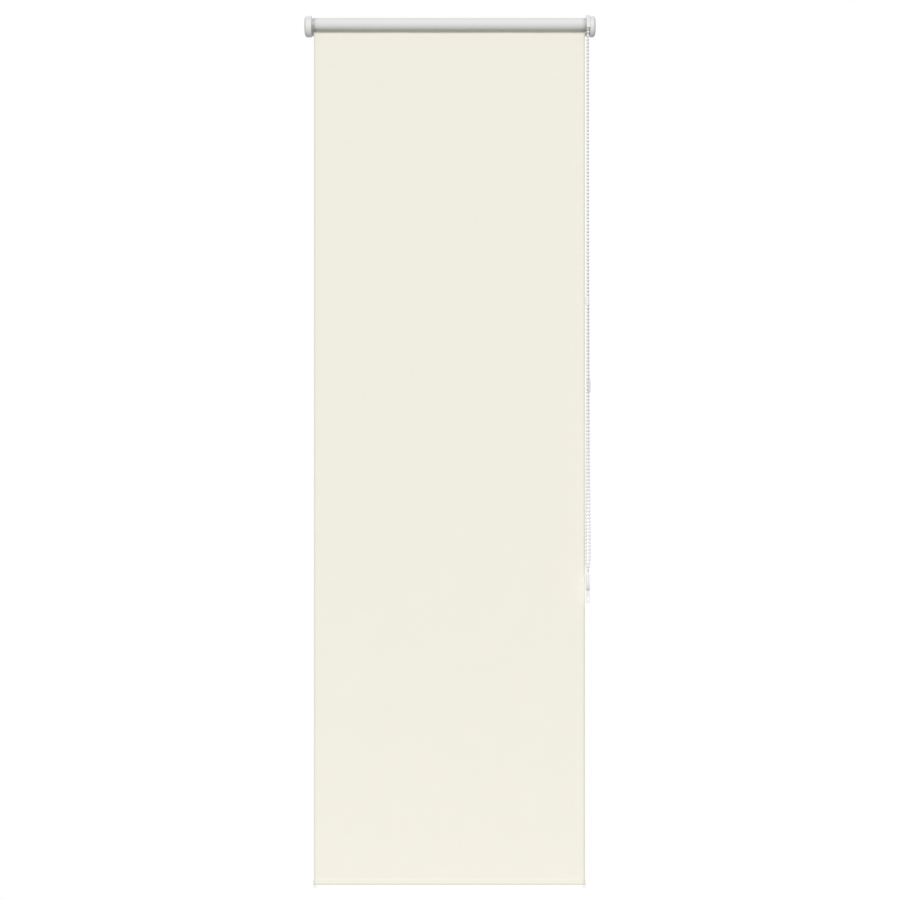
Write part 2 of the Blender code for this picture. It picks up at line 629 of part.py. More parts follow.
def make_clutch_fixed():
    """The chain guard, the spindle it holds, the spindle's clip and its screw."""
    centre = (AXIS.y, AXIS.z)
    skirt_in = ADAPTER_FLANGE_OUT + RUNNING_GAP
    corner = math.degrees(math.asin(GUARD_SKIRT / GUARD_RADIUS))
    reach = GUARD_RADIUS + GUARD_SKIRT * math.tan(GUARD_FLARE)
    outline = arc(centre, GUARD_RADIUS, 0, 180, 36)
    outline.append((AXIS.y - reach, AXIS.z - GUARD_SKIRT))
    outline += arc(centre, GUARD_RADIUS, 180 + corner, 360 - corner, 24)
    outline.append((AXIS.y + reach, AXIS.z - GUARD_SKIRT))
    guard = extruded("clutch_housing", [outline], skirt_in, GUARD_OUT, "X", None, WHITE_PLASTIC)
    below = 2 * GUARD_RADIUS
    reach = GUARD_BORE + below * math.tan(GUARD_FLARE)
    inside = arc(centre, GUARD_BORE, 0, 180, 36)
    inside += [(AXIS.y - reach, AXIS.z - below), (AXIS.y + reach, AXIS.z - below)]
    cut(guard, extruded("clutch_housing_opening", [inside], TUBE_RIGHT, GUARD_IN, "X"),
        ring("clutch_housing_bore", GUARD_IN - GUARD_FACE, GUARD_OUT + GUARD_FACE, 0,
             SCREW_RADIUS + GAP, steps=SMALL_ROUND_STEPS))
    for way in (-1, 1):
        join(guard, lug_box("clutch_housing_lug", way, 0.0, LUG_LENGTH))

    bore = SCREW_RADIUS + GAP
    groove = SPINDLE_RADIUS - CLIP_GROOVE_DEPTH
    blind_end = SPINDLE_OUT - SCREW_LENGTH
    profile = [
        (SPINDLE_OUT, 0), (SPINDLE_OUT, SPINDLE_RADIUS),
        (CLIP_IN + CLIP_GROOVE_WIDTH, SPINDLE_RADIUS), (CLIP_IN + CLIP_GROOVE_WIDTH, groove),
        (CLIP_IN, groove), (CLIP_IN, SPINDLE_RADIUS), (SPINDLE_IN, SPINDLE_RADIUS), (SPINDLE_IN, 0)]
    spindle = turned("clutch_spindle", profile, AXIS, None, GREY_PLASTIC, steps=28)
    cut(spindle, ring("spindle_pilot", blind_end, SPINDLE_OUT + FLANGE_THICKNESS, 0, bore,
                      steps=SMALL_ROUND_STEPS))
    clip_middle = CLIP_IN + CLIP_GROOVE_WIDTH / 2
    ring("spindle_clip", clip_middle - CLIP_THICKNESS / 2, clip_middle + CLIP_THICKNESS / 2,
         groove + GAP, CLIP_RADIUS, None, STEEL, steps=SMALL_ROUND_STEPS)
    head_in = CONTROL_PLATE_OUT + GAP
    profile = [
        (head_in + SCREW_HEAD_HEIGHT, 0),
        (head_in + SCREW_HEAD_HEIGHT, SCREW_HEAD_RADIUS * 0.7),
        (head_in + SCREW_HEAD_HEIGHT * 0.4, SCREW_HEAD_RADIUS), (head_in, SCREW_HEAD_RADIUS),
        (head_in, SCREW_RADIUS), (head_in - SCREW_LENGTH, SCREW_RADIUS),
        (head_in - SCREW_LENGTH, 0)]
    turned("clutch_screw", profile, AXIS, None, STEEL, steps=SMALL_ROUND_STEPS)


def make_clutch_turning(roller):
    """The chain sprocket, the two wrap springs and the adapter that grips the tube."""
    wheel = groove_profile((SPROCKET_OUT - SPROCKET_IN) / 2, (SPROCKET_OUT + SPROCKET_IN) / 2,
                           SPROCKET_BORE)
    profile = wheel[:-1] + [
        (SPROCKET_IN, SLEEVE_RADIUS), (SLEEVE_END, SLEEVE_RADIUS), (SLEEVE_END, SLEEVE_BORE),
        (SPROCKET_IN, SLEEVE_BORE), (SPROCKET_IN, SPROCKET_BORE)]
    turned("chain_sprocket", profile, AXIS, roller, GREY_PLASTIC)

    spare = (SPROCKET_IN - SLEEVE_END - 2 * WRAP_SPRING_LENGTH) / 3
    for i, name in enumerate(("wrap_spring_inner", "wrap_spring_outer")):
        start = SLEEVE_END + spare + i * (WRAP_SPRING_LENGTH + spare)
        path = helix(start, start + WRAP_SPRING_LENGTH, SPRING_RADIUS, WRAP_SPRING_TURNS)
        tube_along(name, path, WRAP_SPRING_WIRE, roller, STEEL)

    bore = SLEEVE_RADIUS + GAP
    outline = ribbed_circle(FITTING_RADIUS, RIB_DEPTH, RIB_WIDTH + 2 * GAP)
    adapter = extruded("tube_adapter", [outline], ADAPTER_END, ADAPTER_FLANGE_OUT, "X", roller,
                       GREY_PLASTIC)
    join(adapter, ring("tube_adapter_flange", ADAPTER_FLANGE_IN, ADAPTER_FLANGE_OUT, 0,
                       FLANGE_RADIUS))
    profile = [
        (ADAPTER_FLANGE_OUT + FLANGE_THICKNESS, 0), (ADAPTER_FLANGE_OUT + FLANGE_THICKNESS, bore),
        (ADAPTER_END + ADAPTER_END_WALL, bore), (ADAPTER_END + ADAPTER_END_WALL, SPROCKET_BORE),
        (ADAPTER_END - ADAPTER_END_WALL, SPROCKET_BORE), (ADAPTER_END - ADAPTER_END_WALL, 0)]
    cut(adapter, turned("tube_adapter_bore", profile, AXIS))


# -------------------------------------------------------------------- roller


def make_roller(roller):
    """The tube, its tape and the turns of cloth that stay on it."""
    centre = (AXIS.y, AXIS.z)
    outer = circle(centre, TUBE_RADIUS, 64)
    inner = ribbed_circle(TUBE_BORE, RIB_DEPTH, RIB_WIDTH)
    extruded("roller_tube", [outer, inner], TUBE_LEFT, TUBE_RIGHT, "X", roller, ALUMINIUM)

    tape_in = TUBE_RADIUS + TAPE_CLEARANCE
    half = math.degrees(TAPE_ANGLE) / 2
    strip = (arc(centre, tape_in + TAPE_THICKNESS, 90 - half, 90 + half, 8)
             + arc(centre, tape_in, 90 + half, 90 - half, 8))
    extruded("cloth_tape", [strip], CLOTH_LEFT + ROLL_INSET, CLOTH_RIGHT, "X", roller, TAPE_MATERIAL)

    steps = 60
    spiral = []
    for i in range(steps + 1):
        angle = math.radians(360 * i / steps)
        radius = ROLL_OUTER - CLOTH * i / steps
        spiral.append((AXIS.y + radius * math.cos(angle), AXIS.z + radius * math.sin(angle)))
    hollow = circle(centre, ROLL_INNER, steps)
    extruded("cloth_roll", [spiral, hollow], CLOTH_LEFT + ROLL_INSET, CLOTH_RIGHT, "X", roller,
             CLOTH_BACKING)


def make_idle_end(roller, pin_pivot):
    """The end plug with its spring pin, spring and spring seat."""
    outline = ribbed_circle(FITTING_RADIUS, RIB_DEPTH, RIB_WIDTH + 2 * GAP)
    plug = extruded("idle_end_plug", [outline], PLUG_FACE, PLUG_END, "X", roller, GREY_PLASTIC)
    join(plug, ring("idle_plug_flange", PLUG_FACE, PLUG_FACE + FLANGE_THICKNESS, 0, FLANGE_RADIUS))
    wall_end = PLUG_FACE + FLANGE_THICKNESS + PLUG_WALL
    bore = PIN_RADIUS + GAP
    profile = [
        (PLUG_END + PLUG_WALL, 0), (PLUG_END + PLUG_WALL, PLUG_CAVITY), (wall_end, PLUG_CAVITY),
        (wall_end, bore), (PLUG_FACE - PLUG_WALL, bore), (PLUG_FACE - PLUG_WALL, 0)]
    cut(plug, turned("idle_plug_bore", profile, AXIS))

    seat_end = SEAT_START + SEAT_THICKNESS
    ring("spring_seat", SEAT_START, seat_end, PIN_STEM_RADIUS + GAP, PLUG_CAVITY - GAP, roller,
         WHITE_PLASTIC, steps=SMALL_ROUND_STEPS)

    collar_end = PIN_COLLAR + PIN_COLLAR_THICKNESS
    tip_chamfer = PIN_RADIUS * 0.3
    profile = [
        (seat_end - GAP - PIN_TRAVEL / 2, 0), (seat_end - GAP - PIN_TRAVEL / 2, PIN_STEM_RADIUS),
        (collar_end, PIN_STEM_RADIUS), (collar_end, PIN_COLLAR_RADIUS),
        (PIN_COLLAR, PIN_COLLAR_RADIUS), (PIN_COLLAR, PIN_RADIUS),
        (PIN_TIP + tip_chamfer, PIN_RADIUS), (PIN_TIP, PIN_RADIUS - tip_chamfer), (PIN_TIP, 0)]
    turned("idle_pin", profile, AXIS, pin_pivot, STEEL, steps=SMALL_ROUND_STEPS)

    clearance = GAP + PIN_SPRING_WIRE
    radius = (PIN_COLLAR_RADIUS + PIN_STEM_RADIUS + GAP) / 2
    path = helix(collar_end + clearance, SEAT_START - clearance, radius, PIN_SPRING_TURNS, 8)
    tube_along("pin_spring", path, PIN_SPRING_WIRE, roller, STEEL)


# ---------------------------------------------------------- cloth and bottom rail


def make_cloth():
    box("shade_cloth", (CLOTH_LEFT, SHEET_FRONT, HEM_TOP + GAP), (CLOTH_RIGHT, SHEET_BACK, -GAP),
        None, CLOTH_MATERIAL)


def make_rail(rail):
    """The hem, the bar that weighs it down and a cap in each end."""
    centre = (HEM_Y, (HEM_TOP + HEM_BOTTOM) / 2)
    outer = rounded_rectangle(centre, HEM_DEPTH, HEM_HEIGHT, HEM_DEPTH * HEM_CORNER)
    inner = rounded_rectangle(centre, HEM_DEPTH - 2 * HEM_WALL, HEM_HEIGHT - 2 * HEM_WALL,
                              HEM_DEPTH * HEM_CORNER - HEM_WALL)
    extruded("hem_pocket", [outer, inner], CLOTH_LEFT, CLOTH_RIGHT, "X", rail, CLOTH_MATERIAL)

    bar = rounded_rectangle(centre, BAR_DEPTH, BAR_HEIGHT, BAR_DEPTH * BAR_CORNER)
    bar_margin = CAP_STUB + GAP
    extruded("weight_bar", [bar], CLOTH_LEFT + bar_margin, CLOTH_RIGHT - bar_margin, "X", rail,
             STEEL)
    for name, edge, outward in (("rail_cap_left", CLOTH_LEFT, -1), ("rail_cap_right", CLOTH_RIGHT, 1)):
        flange_in = edge + outward * GAP
        flange_out = flange_in + outward * CAP_FLANGE
        top = HEM_TOP + CAP_MARGIN
        bottom = HEM_BOTTOM - CAP_FOOT
        plate = rounded_rectangle((HEM_Y, (top + bottom) / 2), HEM_DEPTH + 2 * CAP_MARGIN,
                                  top - bottom, HEM_DEPTH * HEM_CORNER)
        cap = extruded(name, [plate], min(flange_in, flange_out), max(flange_in, flange_out), "X",
                       rail, WHITE_PLASTIC)
        stub_low, stub_high = sorted((edge - outward * CAP_STUB, flange_out - outward * CAP_FLANGE / 3))
        join(cap, extruded(name + "_stub", [bar], stub_low, stub_high, "X"))
        foot_low, foot_high = sorted((edge - outward * CAP_FOOT_WIDTH,
                                      flange_out - outward * CAP_FLANGE / 3))
        foot_height = CAP_FOOT - GAP
        foot = rounded_rectangle((HEM_Y, bottom + foot_height / 2 + CAP_FLANGE / 10),
                                 HEM_DEPTH * 0.8, foot_height - CAP_FLANGE / 5, foot_height * 0.3)
        join(cap, extruded(name + "_foot", [foot], foot_low, foot_high, "X"))


# --------------------------------------------------------------- chain and tensioner


def make_chain(loop):
    tube_along("bead_chain", smooth_route(CHAIN_ROUTE, CHAIN_POINT_STEP), BEAD_RADIUS, loop,
               CHAIN_MATERIAL)
    for name, place_mm, length in (("chain_connector", CONNECTOR_AT, CONNECTOR_LENGTH),
                                   ("safety_joiner", JOINER_AT, JOINER_LENGTH)):
        bore = BEAD_RADIUS + GAP
        half = length / 2
        lead = (CONNECTOR_RADIUS - bore) / 2
        profile = [(half, bore), (half, CONNECTOR_RADIUS - lead), (half - 2 * lead, CONNECTOR_RADIUS),
                   (2 * lead - half, CONNECTOR_RADIUS), (-half, CONNECTOR_RADIUS - lead), (-half, bore)]
        turned(name, profile, Vector(place_mm) * MM, loop, CHAIN_MATERIAL, "Z", SMALL_ROUND_STEPS)


def tensioner_cavity(name, centre):
    """The space round the wheel and the chain inside the tensioner."""
    pocket = BEAD_RADIUS + GROOVE_CLEARANCE
    above = TENSIONER_TOP * 1.5
    bend = arc((centre.y, centre.z), CHAIN_RADIUS, 180, 360, 12)
    path = [(centre.x, centre.y - CHAIN_RADIUS, centre.z + above)]
    path += [(centre.x, y, z) for y, z in bend]
    path.append((centre.x, centre.y + CHAIN_RADIUS, centre.z + above))
    channel = tube_along(name, path, pocket)
    drum = ring(name + "_wheel", -WHEEL_HALF_WIDTH - GAP, WHEEL_HALF_WIDTH + GAP, 0,
                CHAIN_RADIUS - DRUM_CLEARANCE, centre=centre)
    join(channel, drum)
    return channel


def make_tensioner(loop, wheel_pivot):
    """Two half shells round a grooved wheel, with a screwed lug and a foot."""
    centre = Vector(TENSIONER_AT) * MM
    half = TENSIONER_THICKNESS / 2
    split = GAP / 2
    foot_half = TENSIONER_FOOT_DEPTH / 2
    top = centre.z + TENSIONER_TOP
    lug_bottom = centre.z - TENSIONER_LUG
    lug_turn = math.degrees(math.asin(foot_half / TENSIONER_RADIUS))
    for name, way, bottom in (("tensioner_shell_left", -1, lug_bottom),
                              ("tensioner_shell_right", 1, centre.z - TENSIONER_FOOT + GAP)):
        low, high = sorted((centre.x + way * split, centre.x + way * half))
        around = (centre.y, centre.z)
        outline = [(centre.y + TENSIONER_RADIUS, top), (centre.y - TENSIONER_RADIUS, top)]
        outline += arc(around, TENSIONER_RADIUS, 180, 270 - lug_turn, 12)
        outline += [(centre.y - foot_half, bottom), (centre.y + foot_half, bottom)]
        outline += arc(around, TENSIONER_RADIUS, 270 + lug_turn, 360, 12)
        shell = extruded(name, [outline], low, high, "X", loop, CHAIN_MATERIAL)
        cut(shell, tensioner_cavity(name + "_cavity", centre))
        screw_y, screw_z = centre.y, centre.z - SHELL_SCREW_DROP
        screw_at = Vector((0, screw_y, screw_z))
        if way < 0:
            cut(shell, ring(name + "_screw_hole", low - GAP, high + GAP, 0,
                            SHELL_SCREW_RADIUS + GAP, centre=screw_at, steps=SMALL_ROUND_STEPS))
            cut(shell, ring(name + "_screw_head", low - GAP, low + SHELL_SCREW_RECESS, 0,
                            SHELL_SCREW_HEAD + GAP, centre=screw_at, steps=SMALL_ROUND_STEPS))
            continue
        cut(shell, ring(name + "_screw_hole", low - GAP, high - SHELL_SCREW_END, 0,
                        SHELL_SCREW_RADIUS + GAP, centre=screw_at, steps=SMALL_ROUND_STEPS))
        post_end = centre.x - WHEEL_HALF_WIDTH + GAP
        join(shell, ring(name + "_axle", post_end, high - GAP, 0, WHEEL_BORE - GAP, centre=Vector(
            (0, centre.y, centre.z)), steps=SMALL_ROUND_STEPS))
        join(shell, box(name + "_foot", (centre.x - half, centre.y - foot_half - GAP,
                                         centre.z - TENSIONER_FOOT),
                        (high - GAP, centre.y + foot_half + GAP, lug_bottom - GAP)))
        hole = circle((centre.x, centre.z - FIXING_HOLE_DROP), FIXING_HOLE_RADIUS, 24)
        cut(shell, extruded(name + "_fixing_hole", [hole], centre.y - TENSIONER_FOOT_DEPTH,
                            centre.y + TENSIONER_FOOT_DEPTH, "Y"))

    turned("tensioner_wheel", groove_profile(WHEEL_HALF_WIDTH, 0, WHEEL_BORE), centre, wheel_pivot,
           WHITE_PLASTIC, steps=28)
    head_in = centre.x - half + SHELL_SCREW_RECESS - GAP
    screw_end = centre.x + half - SHELL_SCREW_END - GAP
    profile = [(screw_end, 0), (screw_end, SHELL_SCREW_RADIUS), (head_in, SHELL_SCREW_RADIUS),
               (head_in, SHELL_SCREW_HEAD), (head_in - SHELL_SCREW_HEAD_HEIGHT, SHELL_SCREW_HEAD),
               (head_in - SHELL_SCREW_HEAD_HEIGHT, 0)]
    turned("tensioner_screw", profile, Vector((0, centre.y, centre.z - SHELL_SCREW_DROP)), loop,
           STEEL, steps=SMALL_ROUND_STEPS)


# ---------------------------------------------------------------------- build


def main():
    roller = pivot("roller_axis", AXIS)
    pin_pivot = pivot("idle_pin_axis", (PIN_TIP, AXIS.y, AXIS.z))
    rail = pivot("rail_reference", (0, HEM_Y, HEM_BOTTOM))
    loop = pivot("chain_axis", (CHAIN_X, AXIS.y, AXIS.z))
    wheel_pivot = pivot("tensioner_wheel_axis", Vector(TENSIONER_AT) * MM)
    make_idle_bracket()
    make_control_bracket()
    make_clutch_fixed()
    make_clutch_turning(roller)
    make_roller(roller)
    make_idle_end(roller, pin_pivot)
    make_cloth()
    make_rail(rail)
    make_chain(loop)
    make_tensioner(loop, wheel_pivot)


main()
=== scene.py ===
"""Looks for a chain-operated roller blind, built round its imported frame."""

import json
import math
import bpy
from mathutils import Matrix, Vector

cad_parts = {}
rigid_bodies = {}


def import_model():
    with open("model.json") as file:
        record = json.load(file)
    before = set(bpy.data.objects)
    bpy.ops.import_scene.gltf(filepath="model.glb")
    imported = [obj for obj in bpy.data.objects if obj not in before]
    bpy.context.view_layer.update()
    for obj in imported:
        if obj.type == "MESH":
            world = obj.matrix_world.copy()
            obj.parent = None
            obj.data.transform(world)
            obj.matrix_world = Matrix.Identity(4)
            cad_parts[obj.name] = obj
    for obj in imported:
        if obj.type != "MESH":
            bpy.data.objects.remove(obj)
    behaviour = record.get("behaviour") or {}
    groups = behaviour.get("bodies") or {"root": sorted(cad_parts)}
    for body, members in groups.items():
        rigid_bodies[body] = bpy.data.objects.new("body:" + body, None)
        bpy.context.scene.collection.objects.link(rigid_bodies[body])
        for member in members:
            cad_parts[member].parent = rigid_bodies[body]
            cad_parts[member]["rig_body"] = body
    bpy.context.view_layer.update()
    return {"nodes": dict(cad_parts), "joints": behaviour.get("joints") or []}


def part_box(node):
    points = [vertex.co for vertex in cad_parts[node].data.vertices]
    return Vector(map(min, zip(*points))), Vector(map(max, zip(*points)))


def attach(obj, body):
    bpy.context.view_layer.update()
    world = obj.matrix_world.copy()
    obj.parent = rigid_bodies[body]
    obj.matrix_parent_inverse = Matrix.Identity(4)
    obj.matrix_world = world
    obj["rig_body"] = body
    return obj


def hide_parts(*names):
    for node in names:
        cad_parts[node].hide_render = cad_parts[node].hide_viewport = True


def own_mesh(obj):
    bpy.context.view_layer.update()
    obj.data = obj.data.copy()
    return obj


bl_info = {
    "name": "Roller Blind Looks",
    "version": (1, 0, 0),
    "blender": (4, 5, 0),
    "location": "View3D > Sidebar > Roller Blind",
    "description": "Builds the cloth, chain, covers and fittings of a roller blind",
    "category": "Object",
}

import bmesh
import bpy
from mathutils import Matrix, Vector

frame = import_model()
NODES = frame["nodes"]
MM = 0.001

# The roller's axis, from the frame's own joint
AXIS = Vector(next(j for j in frame["joints"] if j["name"] == "roller_turn")["pos_m"])
LIFT = next(j for j in frame["joints"] if j["name"] == "blind_lift")["range_m"][1]
PIN_TRAVEL = next(j for j in frame["joints"] if j["name"] == "idle_pin_press")["range_m"][1]

# Chain loop: the sprocket's top, down the front strand, round the hold-down's
# wheel and up the back strand
CHAIN_ROUTE = (
    (0.2366, -0.0242, 0.0115), (0.2366, -0.0284, 0.0106), (0.2366, -0.0321, 0.0081),
    (0.2366, -0.0346, 0.0044), (0.2366, -0.0355, 0.0000), (0.2366, -0.0355, -0.0120),
    (0.2365, -0.0355, -0.0624), (0.2360, -0.0355, -0.2524), (0.2354, -0.0355, -0.4694),
    (0.2354, -0.0355, -0.4844), (0.2346, -0.0354, -0.7024), (0.2334, -0.0352, -0.8624),
    (0.2329, -0.0352, -0.9074), (0.2335, -0.0353, -0.9264), (0.2366, -0.0355, -0.9434),
    (0.2369, -0.0355, -0.9504), (0.2369, -0.0355, -0.9594), (0.2369, -0.0346, -0.9638),
    (0.2369, -0.0321, -0.9675), (0.2369, -0.0284, -0.9700), (0.2369, -0.0240, -0.9709),
    (0.2369, -0.0196, -0.9700), (0.2369, -0.0159, -0.9675), (0.2369, -0.0134, -0.9638),
    (0.2369, -0.0125, -0.9594), (0.2369, -0.0125, -0.9504), (0.2372, -0.0125, -0.9434),
    (0.2396, -0.0127, -0.9244), (0.2400, -0.0128, -0.9024), (0.2392, -0.0127, -0.8024),
    (0.2382, -0.0126, -0.6324), (0.2382, -0.0126, -0.6114), (0.2370, -0.0125, -0.3024),
    (0.2366, -0.0125, -0.0624), (0.2366, -0.0125, 0.0000), (0.2366, -0.0134, 0.0044),
    (0.2366, -0.0159, 0.0081), (0.2366, -0.0196, 0.0106), (0.2366, -0.0238, 0.0115),
)


# Turns of the lamps about X, Y and Z, from shining straight down
KEY_TURN = (math.radians(67), 0, math.radians(-4))
REAR_TURN = (math.radians(60), 0, math.radians(180))

# The cloth's slow waves: waves across, phase, radians to the metre down, share of the ripple
WAVES = ((2.1, 0.15, 1.7, 1.0), (4.7, 0.4, -3.1, 0.5))

CHAIN_FACTS = {}


# ---------------------------------------------------------------- settings


def length_setting(name, description, default):
    return bpy.props.FloatProperty(name=name, description=description, unit="LENGTH",
                                   default=default)


def number_setting(name, description, default):
    return bpy.props.FloatProperty(name=name, description=description, default=default)


def colour_setting(name, description, default):
    return bpy.props.FloatVectorProperty(name=name, description=description, subtype="COLOR",
                                         size=3, min=0, max=1, default=default)


def count_setting(name, description, default):
    return bpy.props.IntProperty(name=name, description=description, min=1, default=default)


class ClothSettings(bpy.types.PropertyGroup):
    """The woven cloth, its roll and its hem."""

    front_colour: colour_setting("Front Colour", "Room side of the cloth", (0.895, 0.87, 0.77))
    back_colour: colour_setting("Back Colour", "Reverse of the cloth, outwards on the roll",
                                (0.79, 0.79, 0.785))
    thickness: length_setting("Thickness", "Thickness of one layer", 0.00036)
    thread_pitch: length_setting("Thread Pitch", "From one thread to the next", 0.00048)
    roll_turns: count_setting("Roll Turns", "Turns on the tube with the blind down", 2)
    edge_curl: length_setting("Edge Curl", "How far the cut edges turn towards the wall", 0.0002)
    ripple: length_setting("Ripple", "Height of the cloth's slow waves", 0.0006)


class ChainSettings(bpy.types.PropertyGroup):
    """The bead chain and its sprocket."""

    bead_radius: length_setting("Bead Radius", "Radius of one bead", 0.00225)
    bead_pitch: length_setting("Bead Pitch", "From one bead to the next", 0.006)
    string_radius: length_setting("String Radius", "Radius of the string", 0.00055)
    colour: colour_setting("Colour", "Colour of the beads", (0.91, 0.91, 0.90))
    pockets: count_setting("Pockets", "Beads that one turn of the sprocket takes", 12)
    pocket_depth: length_setting("Pocket Depth", "Room under each bead", 0.9 * MM)
    bead_clearance: length_setting("Bead Clearance", "From a rib to the beads' path", 0.1 * MM)
    rib_width: length_setting("Rib Width", "Thickness of a rib between pockets", 1.4 * MM)
    sprocket_clearance: length_setting("Sprocket Clearance", "Play at the bore and the adapter",
                                       0.3 * MM)
    spring_room: length_setting("Spring Room", "Space for the wrap springs", 1.6 * MM)
    sleeve_wall: length_setting("Sleeve Wall", "Wall of the sprocket's sleeve", 0.8 * MM)


class FittingSettings(bpy.types.PropertyGroup):
    """Covers, brackets and end fittings."""

    plastic_colour: colour_setting("Plastic Colour", "Covers and chain guard", (0.80, 0.80, 0.79))
    fitting_colour: colour_setting("Fitting Colour", "Plug, sprocket and adapter",
                                   (0.74, 0.74, 0.735))
    small_colour: colour_setting("Small Parts' Colour", "Rail caps, spring seat and chain wheel",
                                 (0.88, 0.88, 0.87))
    cover_fillet: length_setting("Cover Fillet", "Rounding of the covers' outer edge", 0.005)
    cover_dome: length_setting("Cover Dome", "Rise of the covers' outer face", 0.0006)
    cover_wall: length_setting("Cover Wall", "Wall of the covers", 0.0015)
    edge_radius: length_setting("Edge Radius", "Softening of moulded and pressed edges", 0.00035)
    spring_wire: length_setting("Spring Wire", "Radius of the pin spring's wire", 0.35 * MM)
    spring_turns: count_setting("Spring Turns", "Turns of the pin's spring", 8)


class StageSettings(bpy.types.PropertyGroup):
    """Camera, light and floor."""

    camera_distance: length_setting("Camera Distance", "From the wall plane", 8.0)
    frame_width: length_setting("Frame Width", "Width taken in at the roller", 1.5453)
    camera_height: length_setting("Camera Height", "Camera above the roller's axis", -0.7321)
    sky_strength: number_setting("Sky Strength", "Even light from all round", 0.40)
    key_strength: number_setting("Key Strength", "Soft light from above the camera", 2.05)
    rear_strength: number_setting("Rear Strength", "Soft light from behind", 1.6)
    floor_height: length_setting("Floor Height", "Floor below the roller's axis", -2.1)


# ------------------------------------------------------------ shader helpers


class Value:
    """A shader output that takes part in ordinary sums."""

    def __init__(self, look, socket):
        self.look = look
        self.socket = socket

    def __add__(self, other):
        return self.look.math("ADD", self, other)

    def __sub__(self, other):
        return self.look.math("SUBTRACT", self, other)

    def __rsub__(self, other):
        return self.look.math("SUBTRACT", other, self)

    def __mul__(self, other):
        return self.look.math("MULTIPLY", self, other)

    def __truediv__(self, other):
        return self.look.math("DIVIDE", self, other)

    __radd__ = __add__
    __rmul__ = __mul__


class Look:
    """A material under way: a Principled shader and the nodes that feed it."""

    def __init__(self, name, colour, roughness, metallic=0.0, **fixed):
        self.material = bpy.data.materials.new(name)
        self.material.use_nodes = True
        tree = self.material.node_tree
        self.nodes, self.links = tree.nodes, tree.links
        self.shader = self.nodes["Principled BSDF"]
        self.set("Base Color", (*colour, 1.0))
        self.set("Roughness", roughness)
        self.set("Metallic", metallic)
        for socket, value in fixed.items():
            self.set(socket.replace("_", " "), value)

    def set(self, socket, value):
        """Give one of the shader's sockets a value or a link."""
        self.feed(self.shader.inputs[socket], value)

    def feed(self, socket, value):
        if isinstance(value, Value):
            self.links.new(value.socket, socket)
        else:
            socket.default_value = value

    def node(self, kind, output=0, inputs=None, **settings):
        """Add a node: its settings first, then what goes into it."""
        made = self.nodes.new("ShaderNode" + kind)
        for key, value in settings.items():
            setattr(made, key, value)
        for key, value in (inputs or {}).items():
            self.feed(made.inputs[key], value)
        return Value(self, made.outputs[output])

    def math(self, operation, *terms):
        return self.node("Math", operation=operation, inputs=dict(enumerate(terms)))

    def place(self):
        """The point on the piece, in its own coordinates."""
        return self.node("TexCoord", "Object")

    def axes(self):
        where = self.place()
        return [self.node("SeparateXYZ", axis, {"Vector": where}) for axis in "XYZ"]

    def noise(self, scale, stretch=(1, 1, 1), detail=3.0):
        """Noise from 0 to 1, at a scale in features to the metre on each axis."""
        sized = self.node("VectorMath", operation="MULTIPLY", inputs={
            0: self.place(), 1: tuple(scale * s for s in stretch)})
        return self.node("TexNoise", "Fac", {"Vector": sized, "Scale": 1.0, "Detail": detail})

    def tint(self, colour, amount, spread):
        """A colour that a 0 to 1 value darkens by up to an amount."""
        dark = tuple(c * (1 - amount) for c in colour)
        return self.node("Mix", 2, {0: spread, 6: (*colour, 1.0), 7: (*dark, 1.0)},
                         data_type="RGBA")

    def bump(self, height, depth, strength):
        return self.node("Bump", "Normal",
                         {"Strength": strength, "Distance": depth, "Height": height})


# ----------------------------------------------------------------- materials


def weave_height(look, pitch):
    """Plain weave: warp and weft threads that pass over each other in turn."""
    x, _, z = look.axes()
    warp, weft = x / pitch, z / pitch
    turn = look.math("PINGPONG", look.math("FLOOR", warp) + look.math("FLOOR", weft), 1.0)
    across_warp = look.math("SINE", look.math("FRACT", warp) * math.pi)
    across_weft = look.math("SINE", look.math("FRACT", weft) * math.pi)
    over = across_warp * (across_weft * 0.5 + 0.5)
    under = across_weft * (across_warp * 0.5 + 0.5)
    return turn * over + (1.0 - turn) * under


def woven_cloth(name, colour, pitch, weld=None):
    """Matt polyester cloth with slightly uneven threads, painted shade in the weave's hollows, and
    perhaps a weld line at a height.
    """
    look = Look(name, colour, 0.9, Sheen_Weight=0.12, Sheen_Roughness=0.6)
    height = weave_height(look, pitch)
    weft_slubs = look.noise(1 / pitch, (0.03, 0.5, 0.55), 2.0)
    warp_slubs = look.noise(1 / pitch, (0.55, 0.5, 0.02), 2.0)
    cloudy = look.noise(14.0, detail=2.0)
    # Painted shade: the colour darkens where the weave's threads dip, on top of the real tone
    # changes of the slubs and faint clouds
    shade = (1.0 - height) * 0.5 + weft_slubs * 0.55 + warp_slubs * 0.35 + cloudy * 0.25
    base = look.tint(colour, 0.07, shade - 0.4)
    if weld is not None:
        _, _, z = look.axes()
        line = look.math("LESS_THAN", look.math("ABSOLUTE", z - weld), 0.45 * MM)
        base = look.node("Mix", 2, {0: line * 0.16, 6: base, 7: (0.45, 0.44, 0.36, 1.0)},
                         data_type="RGBA")
    look.set("Base Color", base)
    look.set("Roughness", height * -0.08 + 0.95)
    relief = height + weft_slubs * 0.6 + warp_slubs * 0.4
    look.set("Normal", look.bump(relief, 0.00006, 0.5))
    return look.material


def moulded_plastic(name, colour, roughness, grain=2600.0, depth=0.00002, coat=0.0):
    """Injection-moulded plastic: fine sparked texture and faint handling marks."""
    look = Look(name, colour, roughness, Coat_Weight=coat, Coat_Roughness=0.2)
    fine = look.noise(grain, detail=2.0)
    marks = look.noise(90.0, detail=5.0)
    look.set("Base Color", look.tint(colour, 0.05, marks))
    look.set("Roughness", fine * 0.08 + marks * 0.12 + (roughness - 0.1))
    look.set("Normal", look.bump(fine, depth, 0.4))
    return look.material


